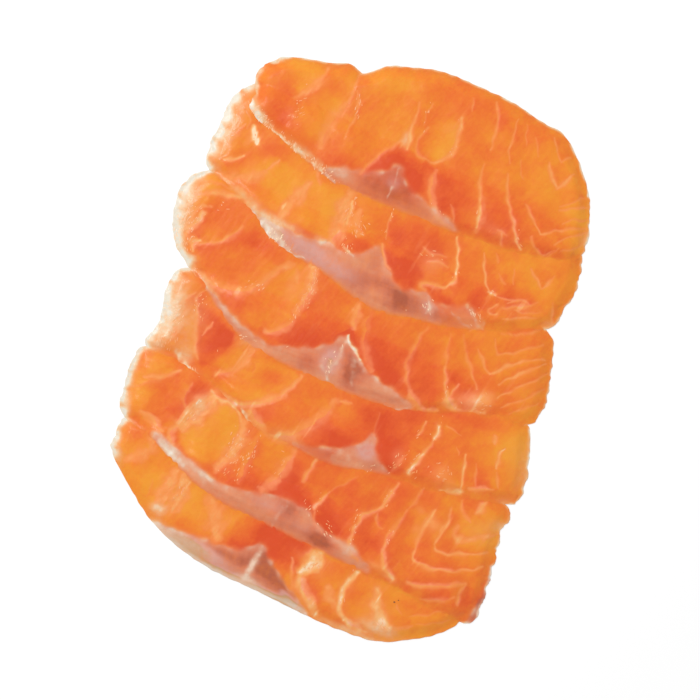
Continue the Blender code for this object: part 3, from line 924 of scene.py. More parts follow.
# Slice 5
# The widest slice, with the longest grey band of trimmed skin and a dried, darker corner at the back
# end. It is tucked under slice 4 and rests on slice 6 with its thin skin edge.
lay_slice(
    "slice_5",
    sides=(
        [(-72.6, -61.5), (-54, -68.5), (-40, -75), (-25, -79), (0, -80.5), (20, -82), (45, -83.3),
         (78, -85.8)],
        [(82.4, -78), (80.7, -61), (78.7, -48)],
        [(77.6, -38.5), (50, -32), (15, -30.5), (-25, -31), (-55, -31.5), (-73.5, -34)],
        [(-76.6, -41), (-75.8, -52)],
    ),
    shown=0.72,
    below="slice_6",
    seed=50,
    tone=(0.45, [
        # The patch at (-48, -42) is painted shade, where slice 4's skin edge lies over this slice.
        (-0.15, 3, 5, 0, -68, -38), (0.05, 8, 8, 0, -60, -50), (0.42, 5, 4, 0, -48, -42),
        (-0.05, 8, 8, 0, -17, -57), (0.08, 9, 3, 5, -18, -68), (0.27, 5, 8, 0, -2, -61),
        (0.1, 8, 8, 0, 12, -54), (0.4, 8, 3.5, 0, 0, -67), (0.25, 9, 5, 0, 17, -67),
        (0.5, 5, 2.5, 0, 17, -71.5), (0.2, 10, 8, 0, 25, -58), (-0.04, 8, 10, 0, 45, -64),
        (0.17, 10, 4, -15, 35, -71), (-0.5, 9, 7, 15, 71, -51), (0.2, 12, 5, 10, 68, -78),
        (0.5, 1.8, 8, 3, 82.5, -74), (-0.15, 6, 4, 0, 58, -47),
        (-0.25, 6, 6, 0, -69, -50), (-0.12, 8, 8, 0, -40, -68), (0.15, 5, 5, 0, -12, -65),
        (0.22, 12, 4, 0, 36, -47), (0.2, 8, 3, 0, 8, -49), (0.15, 6, 4, 0, 16, -72),
        (0.15, 8, 5, 0, 38, -57), (0.2, 3, 5, 0, -53, -50), (0.2, 4, 4, 0, 59, -51),
        (-0.15, 4, 5, 0, -45, -60), (0.2, 4, 4, 0, -52, -50), (0.15, 6, 5, 0, 64, -46),
        (-0.15, 4, 6, 0, -68, -54), (0.12, 4, 4, 0, 36, -66),
    ]),
    zones=[
        (3.4, -0.29, [(-40, -45), (-34, -42.5), (-29, -46), (-29, -54), (-31, -61), (-34, -66.5),
                      (-42, -66.5), (-49, -62), (-49, -57), (-42, -52)]),
        (2.7, 0.14, [(-6, -49.5), (2, -49.5), (1, -58), (6, -62), (9, -68), (0, -66.5), (-9, -68.5),
                     (-9, -61), (-7, -55)]),
        (2.7, 0.11, [(-30, -64.5), (-25, -66), (-16, -66), (-11, -67), (-16, -71), (-28, -72),
                     (-31, -69)]),
    ],
    veins=[
        (2.6, 0.5, 0.5, [(-66, -58.5), (-61, -59), (-56, -61)]),
        (2.0, 0.5, 0.46, [(-58, -38), (-61, -41), (-64, -43), (-70, -45)]),
        (2.4, 0.25, 0.25, [(-61, -42), (-66, -45), (-72, -50)]),
        (2.4, 0.3, 0.3, [(-52, -41), (-53, -46), (-51, -50)]),
        (7.4, 0.6, 0.6, [(-42, -42.5), (-44.5, -47), (-46.5, -52), (-49.5, -57)]),
        (3.0, 0.55, 0.45, [(-50, -57), (-52, -61), (-50, -65)]),
        (2.2, 0.8, 0.64, [(-44, -40.5), (-40, -42.5), (-36, -42), (-32, -43.5), (-29, -47)]),
        (5.0, 0.5, 0.52, [(-28, -47), (-27, -53), (-28, -60), (-31, -67)]),
        (3.2, 0.18, 0.24, [(-21, -50), (-21, -56), (-21, -63), (-21, -69)]),
        (3.0, 0.36, 0.36, [(-22, -46), (-16, -47.5), (-9, -48.5)]),
        (4.2, 0.4, 0.42, [(-6, -50), (-7, -56), (-8.5, -62), (-12, -68)]),
        (2.0, 0.5, 0.4, [(3, -49.5), (2, -54), (1.5, -59)]),
        (1.2, 0.2, 0.24, [(20, -49), (16, -54), (12.5, -59)]),
        (1.6, 0.5, 0.74, [(12.5, -59), (10.5, -63), (9.5, -67)]),
        (1.4, 0.36, 0.26, [(10, -68), (12, -72), (15, -74)]),
        (1.8, 0.46, 0.6, [(35, -46), (34.2, -51), (33, -55.5)]),
        (2.2, 0.6, 0.55, [(33, -56), (31, -59), (28, -62), (26.5, -67), (26, -72)]),
        (2.6, 0.5, 0.4, [(26, -72), (28, -76), (32, -79)]),
        (1.2, 0.35, 0.35, [(32, -59), (33.5, -63), (36, -64)]),
        (1.4, 0.32, 0.3, [(45, -43), (44, -48), (43, -53)]),
        (2.4, 0.3, 0.4, [(42.5, -54), (41, -60), (39.5, -66), (39.5, -71)]),
        (2.6, 0.55, 0.5, [(39.5, -71), (42, -76), (47, -80)]),
        (1.6, 0.36, 0.44, [(52, -50), (50.8, -56), (50.3, -63), (50.3, -67)]),
        (1.6, 0.55, 0.5, [(50.3, -67), (51.5, -70.3), (56, -71.2), (62, -70.3), (70, -67.5), (77, -63)]),
        (1.4, 0.45, 0.5, [(57, -47), (58, -52), (57.2, -58), (56.5, -62)]),
        (1.4, 0.5, 0.45, [(56.5, -62), (58.5, -64), (64, -63), (70, -60.5), (77, -57.5)]),
        (1.3, 0.4, 0.4, [(60, -42), (62, -46.5), (66, -49)]),
        (2.4, 0.45, 0.4, [(62.5, -52), (62.5, -56), (66, -56.5), (72, -53), (77, -49.5)]),
        (2.4, 0.45, 0.4, [(53, -79.5), (58, -78.5), (64, -76), (69, -73.5), (73, -71)]),
        (2.2, 0.35, 0.35, [(60, -83), (66, -81), (71, -78)]),
        (1.8, 0.4, 0.4, [(73, -71), (73, -76), (74, -80)]),
        (2.2, 0.7, 0.6, [(67, -45), (69, -40)]),
        (1.2, 0.15, 0.15, [(45, -77), (47, -73)]),
    ],
    bands=[
        (1.6, 0.75, [(80.2, -62), (81.6, -70), (80.8, -78), (80, -85), (85, -85), (84, -62)]),
        (4.2, 0.6, [(-58, -63.5), (-51, -65), (-43, -68), (-36, -70), (-35, -80), (-54, -74)]),
        (2.9, 0.92, [(-49, -66.5), (-44, -67.5), (-36, -69.5), (-28, -72), (-18, -71),
                     (-8, -68.5), (0, -67.5), (8, -69), (13, -72.5), (20, -74.5), (27, -74), (32, -77.5),
                     (36, -79.5), (38, -82), (36, -86), (10, -86), (-20, -83.5), (-35, -80),
                     (-46, -76)]),
    ],
    dusk=(0.3, [(1.0, 4, 12, 0, 82, -74), (-0.35, 8, 3, -10, -39, -72), (0.1, 8, 3, 0, -18, -74),
                (0.7, 5, 4, 0, 0, -71), (0.85, 5, 3, -20, 15.5, -77), (0.12, 5, 3, 0, 20, -74),
                (-0.1, 5, 3, 0, 27, -77), (0.3, 14, 4, -5, 10, -78)]),
    grey=[(0.75, 4, 2.5, -20, -52, -67.5), (0.16, 8, 3, 0, -8, -72), (0.1, 6, 3, 0, 8, -75)],
    pale=[(0.42, 4.5, 3, -18, -51, -68.5), (0.15, 6, 3, -30, -54, -65.5), (0.3, 12, 1.5, -10, -36, -71),
          (0.4, 3, 5, -10, -46, -48), (0.4, 1.8, 12, 0, -76, -45), (0.3, 2, 8, 15, -72, -58),
          (0.14, 9, 6, 15, 71, -50), (0.25, 4, 2.5, 10, 78, -46), (0.34, 3, 3, 0, 27, -76.5)],
    lips=[(3.2, 0.22, 0.34, [(-55, -66), (-51, -68), (-47, -69.8), (-43, -71.5)]),
          (2.2, 0.22, 0.2, [(-1, -70), (-3, -75), (-3, -79)])],
    blush=[(0.35, 3, 1.8, -15, 38, -78), (0.28, 4, 1.6, -10, 46, -80.3), (0.45, 2.5, 3, 0, 53.5, -55),
           (0.3, 2, 2.5, 0, 48, -59.5), (0.3, 2, 2, 0, 47, -52)],
    crags=[(0.8, 4, 7, -30, -47, -50), (0.6, 5, 3, -20, -51, -68), (0.5, 2.5, 12, 0, -73, -48),
           (0.6, 5, 8, 0, -25, -57), (0.3, 10, 8, 0, 52, -56), (0.4, 3, 10, 0, 77, -50)],
    flecks=[(0.5, 1.5, 2, 0, -47, -52), (1.0, 2.5, 7, 0, -27, -58), (0.9, 1.6, 6, 0, -21, -60),
            (0.6, 1.6, 5, 10, -8, -60), (0.8, 1.2, 3, 10, 10, -64.5), (0.8, 1, 4, 0, 34, -51),
            (0.7, 1.2, 5, 10, 26, -68), (0.6, 1, 3, 0, 39.5, -66), (0.8, 3, 1.5, 0, 7, -67),
            (0.8, 3, 2, 0, -26, -43.5), (0.8, 2, 2, 0, 17, -72)],
)

# Slice 4
# Its belly end is mostly white fat over a red flake, and its skin edge folds into a pale lip where it
# rests on slice 5.
lay_slice(
    "slice_4",
    sides=(
        [(-74, -34), (-58, -36), (-44, -39), (-27, -46.5), (-8, -49.5), (12, -49.3), (30, -45.3),
         (52, -43.5), (78, -36.8)],
        [(79.8, -27), (76.2, -14)],
        [(71.5, -6), (50, -1), (15, 2.5), (-20, 3), (-50, 2), (-71.5, -1)],
        [(-75.2, -10), (-72.8, -23)],
    ),
    shown=0.66,
    below="slice_5",
    seed=40,
    tone=(0.42, [
        (0.15, 4, 8, 0, -50, -22), (0.4, 3.2, 4, 0, -46, -19.5), (0.3, 3, 3, 0, -62, -10),
        (-0.1, 6, 5, 0, -40, -24), (-0.05, 9, 9, 0, -12, -33), (-0.05, 6, 5, 0, 6, -29),
        (0.3, 10, 4, -15, 6, -38), (0.15, 7, 9, 0, 27, -30), (0.35, 4, 6, 0, 28, -38),
        (0.15, 6, 8, 0, 33, -22), (0.1, 10, 10, 0, 48, -28), (-0.45, 9, 9, 0, 72, -16),
        (0.3, 14, 2.5, 8, 52, -13), (-0.1, 12, 4, 0, 60, -39), (0.2, 5, 6, 0, 18, -27),
        (-0.15, 6, 6, 0, 75, -28), (0.25, 8, 5, 0, 15, -25), (0.22, 6, 4, 0, -24, -26),
        (0.12, 8, 4, 0, -8, -26), (0.15, 12, 4, 0, 30, -41), (0.15, 8, 3, 0, 3, -43),
        (0.15, 8, 3, 0, 28, -18), (0.18, 7, 4, 0, -25, -27), (0.15, 6, 5, 0, 13, -27),
        (0.12, 6, 5, 0, 20, -34), (0.15, 5, 4, 0, 28, -18), (0.15, 8, 3, 0, 8, -42),
        (0.15, 5, 4, 0, 28, -42), (0.15, 4, 4, 0, 66, -36), (-0.15, 4, 4, 0, 68, -18),
        (0.18, 4, 4, 0, -60, -34),
    ]),
    zones=[
        (2.8, 0.3, [(-61, -14), (-57, -12), (-51, -14.5), (-45, -17), (-44, -22), (-46, -28), (-51, -33),
                     (-55, -28), (-58, -20)]),
        (2.7, -0.21, [(-35, -22.5), (-16, -22.5), (-18, -28), (-23, -34), (-29, -38.5), (-38, -39.5),
                     (-42, -36), (-38, -29)]),
        (2.5, 0.14, [(20.5, -22), (34, -21), (34, -30), (36, -38), (33, -43), (26, -40.5), (21.5, -34),
                     (20, -28)]),
    ],
    veins=[
        (1.0, 0.5, 0.45, [(-53.5, -16), (-54.5, -19), (-55.5, -22)]),
        (1.0, 0.4, 0.4, [(-64, -8), (-67, -12), (-70, -14)]),
        (1.0, 0.45, 0.4, [(-61, -6), (-63, -10), (-61, -14)]),
        (1.2, 0.4, 0.4, [(-64, -20), (-67, -24), (-66, -28)]),
        (2.0, 0.5, 0.45, [(-62, -12), (-60, -17), (-58, -24), (-54, -31)]),
        (3.4, 0.42, 0.36, [(-36, -20.5), (-36.5, -25), (-39, -30), (-45, -34)]),
        (3.0, 0.48, 0.6, [(-14.5, -22.5), (-16.5, -28), (-21, -34), (-27, -39), (-33, -41),
                          (-42, -40)]),
        (4.4, 0.42, 0.46, [(-29, -41), (-25, -43.5), (-21, -46)]),
        (5.0, 0.32, 0.36, [(1, -26), (-0.5, -32), (-4, -38), (-9, -44), (-16, -48)]),
        (1.4, 0.2, 0.16, [(-32, -28), (-33, -24)]),
        (1.0, 0.18, 0.24, [(18, -23.5), (19, -28), (19.5, -33)]),
        (1.4, 0.55, 0.4, [(35.5, -20), (36, -23), (34.5, -26)]),
        (1.7, 1.0, 0.85, [(41, -19.5), (41.5, -22), (41.8, -25)]),
        (1.8, 0.45, 0.6, [(41.5, -26), (40.5, -29), (39.5, -32)]),
        (1.8, 0.7, 1.0, [(39.5, -32), (38.3, -36), (37.2, -41)]),
        (1.0, 0.35, 0.3, [(44, -18), (50, -20)]),
        (1.0, 0.3, 0.3, [(50.5, -24), (52, -27)]),
        (1.3, 0.72, 0.68, [(55, -26), (56, -31), (57.3, -35), (57.8, -39)]),
        (3.0, 0.95, 0.8, [(58, -40), (55, -41.5), (51, -42.5)]),
        (1.0, 0.35, 0.3, [(60, -28), (61.5, -33), (63.5, -38)]),
        (1.4, 0.8, 0.62, [(67.5, -18), (66.8, -22), (67.5, -26.5)]),
        (1.2, 0.4, 0.4, [(68, -28), (70, -31), (71, -33)]),
        (1.4, 0.48, 0.48, [(62, -15), (63.5, -18)]),
        (2.0, 0.5, 0.46, [(61, -37), (65, -36), (69, -34)]),
        (1.4, 0.26, 0.26, [(30, -45), (32, -40), (33, -35)]),
        (1.6, 0.5, 0.4, [(3, -25.5), (7, -24.5)]),
    ],
    bands=[
        (2.6, 0.5, [(-8, -47), (0, -45.5), (8, -43), (13, -41), (13, -49), (4, -50)]),
        (2.2, 0.9, [(7, -45.5), (9, -43.5), (13, -40), (17, -36), (19.3, -32.5), (22, -37),
                    (25, -41), (31, -45), (24, -50), (10, -49.5)]),
    ],
    dusk=(0.2, [(0.3, 3, 3, 0, 23, -45), (0.15, 8, 3, 0, 5, -47)]),
    grey=[(0.35, 4, 3.5, 0, 19, -39)],
    pale=[(0.5, 3.5, 14, 0, -70, -20), (0.6, 1.8, 14, 0, -74, -20), (0.28, 8, 12, 0, -63, -20),
          (0.25, 4, 4, 0, -58, -31), (0.12, 8, 10, 0, 74, -18), (0.15, 2.5, 9, 0, 78, -24),
          (0.25, 5, 3, 0, 76, -38), (0.25, 6, 3, 20, -37, -17)],
    lips=[
        (2.2, 0.42, 0.6, [(-62, -31.5), (-59, -34.5), (-55, -36.5), (-50, -37.3)]),
        (1.2, 0.7, 0.6, [(-44, -39.2), (-40, -40.8), (-37, -42)]),
        (1.4, 0.5, 0.7, [(-31, -42.5), (-27, -45), (-24, -47)]),
    ],
    blush=[(0.35, 4, 4, 0, 49, -36), (0.25, 3, 4, 0, 31, -36), (0.3, 2, 2.5, 0, 69, -42),
           (0.25, 8, 2.5, 0, -12, -46)],
    crags=[(0.9, 7, 16, 0, -69, -20), (0.6, 6, 5, 0, -40, -20), (0.5, 6, 4, 0, 47, -38),
           (0.4, 4, 10, 0, 76, -26), (0.4, 8, 3, 10, 64, -38)],
    flecks=[(0.8, 3, 3, 0, -69, -18), (0.5, 3, 8, 0, -68, -24), (0.8, 3, 1.4, 0, -68, -31),
            (0.8, 3, 3, 0, -60, -12), (0.7, 6, 1.5, -15, -56, -36.5), (0.5, 2, 1, 0, -47, -25),
            (0.8, 1, 3, 0, 41, -21), (0.8, 1.2, 5, 15, 38, -37), (0.7, 1.2, 2.5, 0, 35, -23),
            (0.7, 3, 3, 0, 48, -36), (0.6, 2, 3, 0, 22, -44), (0.6, 2, 1.5, 0, 69, -41),
            (0.7, 1.5, 4, 0, 31, -40), (0.6, 1.5, 3, 0, 34, -34)],
)

# Slice 3
# The belly end is a round lobe of fat, and the brown band of muscle under the skin rises to a tear in
# the middle. It rests on slice 4.
lay_slice(
    "slice_3",
    sides=(
        [(-72, 1), (-60, -7), (-48, -15), (-34, -20), (0, -22), (22, -20.5), (35, -17.5),
         (46, -12.8), (60, -9), (72, -7)],
        [(75.6, 3), (71.8, 19.5)],
        [(65, 30), (40, 36), (5, 38), (-30, 38.5), (-60, 39), (-78, 36.6)],
        [(-84.6, 27), (-83.2, 15), (-78.6, 6.5)],
    ),
    shown=0.66,
    below="slice_4",
    seed=30,
    tone=(0.45, [
        (-0.4, 5, 6, 0, -75, 29), (0.12, 10, 7, 0, -64, 21), (0.3, 9, 4, -10, -48, 18),
        (0.12, 14, 6, 5, -58, 7), (0.05, 6, 10, 0, -34, 0), (0.3, 10, 5, 25, -17, -8),
        (0.1, 10, 3, 10, -46, -6), (0.15, 10, 7, 0, 10, -2), (0.2, 11, 4, -15, 11, -8),
        (0.25, 5, 7, 0, 31, -7), (0.1, 6, 8, 0, 28, 5), (0.28, 8, 6, 0, 44, 0),
        (-0.15, 16, 8, 20, 55, 15), (0.15, 16, 2, 15, 52, -13), (-0.1, 6, 6, 0, 8, 8),
        (0.06, 11, 10, 0, 14, -3), (0.3, 4, 5, 0, -1, -3), (-0.18, 5, 12, 0, 70, -8),
        (0.12, 5, 8, 0, 20, -4), (0.15, 5, 4, 0, 20, -10),
    ]),
    zones=[
        (2.7, -0.17, [(-34, 15), (-28, 17), (-26, 10), (-27, 3), (-27.5, -4), (-31, -10), (-38, -12),
                      (-44, -9), (-45, -2), (-41, 4), (-38, 10)]),
        (2.4, 0.10, [(-23, 15), (-6, 10.5), (-3.5, 5), (-5, -0.5), (-8, -5), (-14, -10), (-22, -13.5),
                     (-29, -12), (-24.5, -5), (-24, 4)]),
        (2.4, 0.09, [(3, 10), (20.5, 13), (19.5, 2), (20, -6), (24, -11), (20, -13), (12, -11),
                     (6, -5), (3, 2)]),
        (1.2, 0.55, [(-8.5, -4.5), (-5.5, 0.5), (-4, 2.5), (-2.5, 0), (-0.5, -3.5), (-3.5, -1.8)]),
    ],
    veins=[
        (2.2, 0.4, 0.45, [(-57, 22), (-60, 16), (-65, 12), (-71, 9)]),
        (2.4, 0.6, 0.5, [(-62, 32), (-66, 31), (-72, 29.8), (-77, 27)]),
        (1.2, 0.5, 0.4, [(-78, 33), (-80, 28), (-80, 22)]),
        (1.2, 0.45, 0.4, [(-79, 17), (-77.5, 12), (-74.5, 8)]),
        (2.2, 0.7, 0.66, [(-70, 11), (-72, 8.5), (-71, 6)]),
        (1.4, 0.4, 0.3, [(-66, 33.5), (-74, 33.5), (-79, 31)]),
        (1.6, 0.4, 0.5, [(-71, 25), (-75, 22), (-76.5, 17), (-75, 12)]),
        (3.2, 0.7, 0.6, [(-72.5, 21), (-73.5, 17.5), (-75.5, 14), (-76, 11)]),
        (3.6, 0.38, 0.42, [(-34, 16), (-37.5, 12.5), (-40, 8.5), (-42.5, 3.5), (-46, 0), (-52, -2.3),
                          (-60, -2.8), (-66, -1), (-71, 2)]),
        (4.2, 0.6, 0.4, [(-27, 19.5), (-25, 14), (-24, 9), (-25, 4), (-25.5, -1)]),
        (3.0, 0.35, 0.4, [(-25.5, -1), (-26, -5.5), (-29, -9.5), (-34, -12)]),
        (1.6, 0.2, 0.18, [(-32, 15), (-30, 10)]),
        (3.6, 0.45, 0.45, [(-4.5, 11), (-3.8, 6), (-3.2, 2.5)]),
        (3.4, 0.16, 0.34, [(0, 11), (1, 5), (2.5, 0), (5, -5), (9.5, -10)]),
        (2.4, 0.28, 0.34, [(22.5, 13), (21.3, 6), (20.8, 0), (22, -6), (25.5, -11.5)]),
        (3.4, 0.45, 0.5, [(25.5, -11.5), (29, -14.5), (34.5, -17.5)]),
        (1.4, 0.24, 0.36, [(31.5, 14), (33, 8), (35, 2)]),
        (1.6, 0.52, 0.54, [(35, 2), (36.5, -2), (38.5, -6)]),
        (3.2, 0.6, 0.56, [(38.5, -6), (41, -10), (45, -12), (50, -11.5), (55, -8.5)]),
        (1.4, 0.5, 0.46, [(41.5, -2), (41, -6), (40.5, -9)]),
        (1.3, 0.24, 0.42, [(36.5, 16), (40, 10), (44, 5), (49, -1)]),
        (1.3, 0.4, 0.55, [(44, 13), (47.5, 9), (51.5, 6)]),
        (1.3, 0.55, 0.4, [(51.5, 6), (55, 9.5), (59, 13.5), (63, 16.5), (69, 19)]),
        (1.2, 0.35, 0.35, [(48, 19), (51, 14.5), (56, 16.5), (62, 21), (66, 24)]),
        (1.1, 0.35, 0.35, [(50, 22), (56, 24), (63, 29)]),
        (1.2, 0.48, 0.42, [(56, 4), (61, 9), (65, 13), (70, 18)]),
        (1.2, 0.4, 0.35, [(58, -1), (63, 5), (68, 10), (72, 15)]),
        (1.1, 0.35, 0.3, [(60, -4), (65, 0), (70, 5), (73, 9)]),
        (1.1, 0.3, 0.3, [(64, -5), (69, -1), (73, 3)]),
        (1.1, 0.26, 0.24, [(38, 18), (42, 22), (48, 27)]),
        (2.2, 0.62, 0.5, [(35, -16), (38, -14.5)]),
    ],
    bands=[
        (2.6, 0.9, [(-64, -4.5), (-57, -6.5), (-50, -10), (-44, -13), (-37, -14.5), (-30, -16),
                    (-22, -13.5), (-14, -10.5), (-9, -6.5), (-4.5, -2), (0, -6), (5, -9.5), (12, -12.5),
                    (20, -14), (28, -16.5), (24, -21), (0, -25), (-34, -23), (-50, -17)]),
    ],
    dusk=(0.3, [(0.2, 12, 4, -15, -48, -13), (0.45, 5, 4, 0, -14, -16), (0.3, 4, 3, -40, 6, -12),
                (0.25, 6, 5, 0, 0, -9), (0.22, 5, 5, 0, -8, -9), (0.75, 3, 5, 10, 2, -14),
                (-0.15, 8, 2, -5, 14, -15), (-0.15, 8, 3, 0, -34, -18)]),
    grey=[(0.5, 3.5, 5, 0, -6.5, -13)],
    pale=[(0.6, 2.2, 14, -4, -82.5, 20), (0.55, 2, 6, 25, -78.5, 9), (0.3, 3, 12, -4, -79, 20),
          (0.3, 7, 2.5, -25, -63, -3), (0.2, 10, 3, -20, -50, -11), (0.6, 3, 1.6, 60, -71, 2),
          (0.15, 4, 4, 0, -76, 14), (0.12, 9, 2.4, -14, 17, -14.5)],
    lips=[
        (1.0, 0.9, 0.8, [(-3.8, -1), (-1.5, -4), (1, -6), (3.5, -8)]),
        (2.2, 0.4, 0.42, [(-4, -4), (-4.2, -10), (-5.5, -15), (-5, -19)]),
        (1.8, 0.3, 0.36, [(-9.5, -13), (-8.5, -16), (-6.5, -18.5)]),
        (1.6, 0.16, 0.16, [(1, -8), (3, -13), (5, -18)]),
        (1.4, 0.25, 0.25, [(19, -20), (23, -20.5), (27, -18)]),
    ],
    blush=[(0.65, 6, 3.2, 15, 50, -5.5), (0.25, 3, 3, 0, 54, -2), (0.3, 3, 8, 0, -31, 8)],
    crags=[(0.9, 4, 16, -4, -80, 20), (0.6, 6, 5, 0, -72, 8), (0.5, 6, 4, 0, -68, -2),
           (0.6, 5, 4, 20, 50, -6), (0.4, 6, 6, 0, 68, 5), (0.5, 3, 6, 0, -5, -11)],
    flecks=[(2.0, 1.6, 9, -4, -79, 15), (1.6, 2.6, 2.2, 0, -73, 8.5), (1.0, 1.6, 5, 0, -74, 17),
            (0.6, 5, 1.2, 0, -70, 26), (0.8, 4, 1.5, 30, -45, 2), (2.2, 1.2, 7, 5, -24, 12),
            (1.4, 1.0, 5, 0, -25.5, 1), (0.8, 2, 1, 0, -24, -13.5), (0.7, 1.5, 5, 0, -6, -13),
            (0.7, 3, 1.2, 0, -40, -16.5), (0.4, 4, 2.5, 30, 53, -6), (0.5, 1, 3, 0, 38, -5),
            (0.8, 3, 1.5, 0, -69, -1)],
)

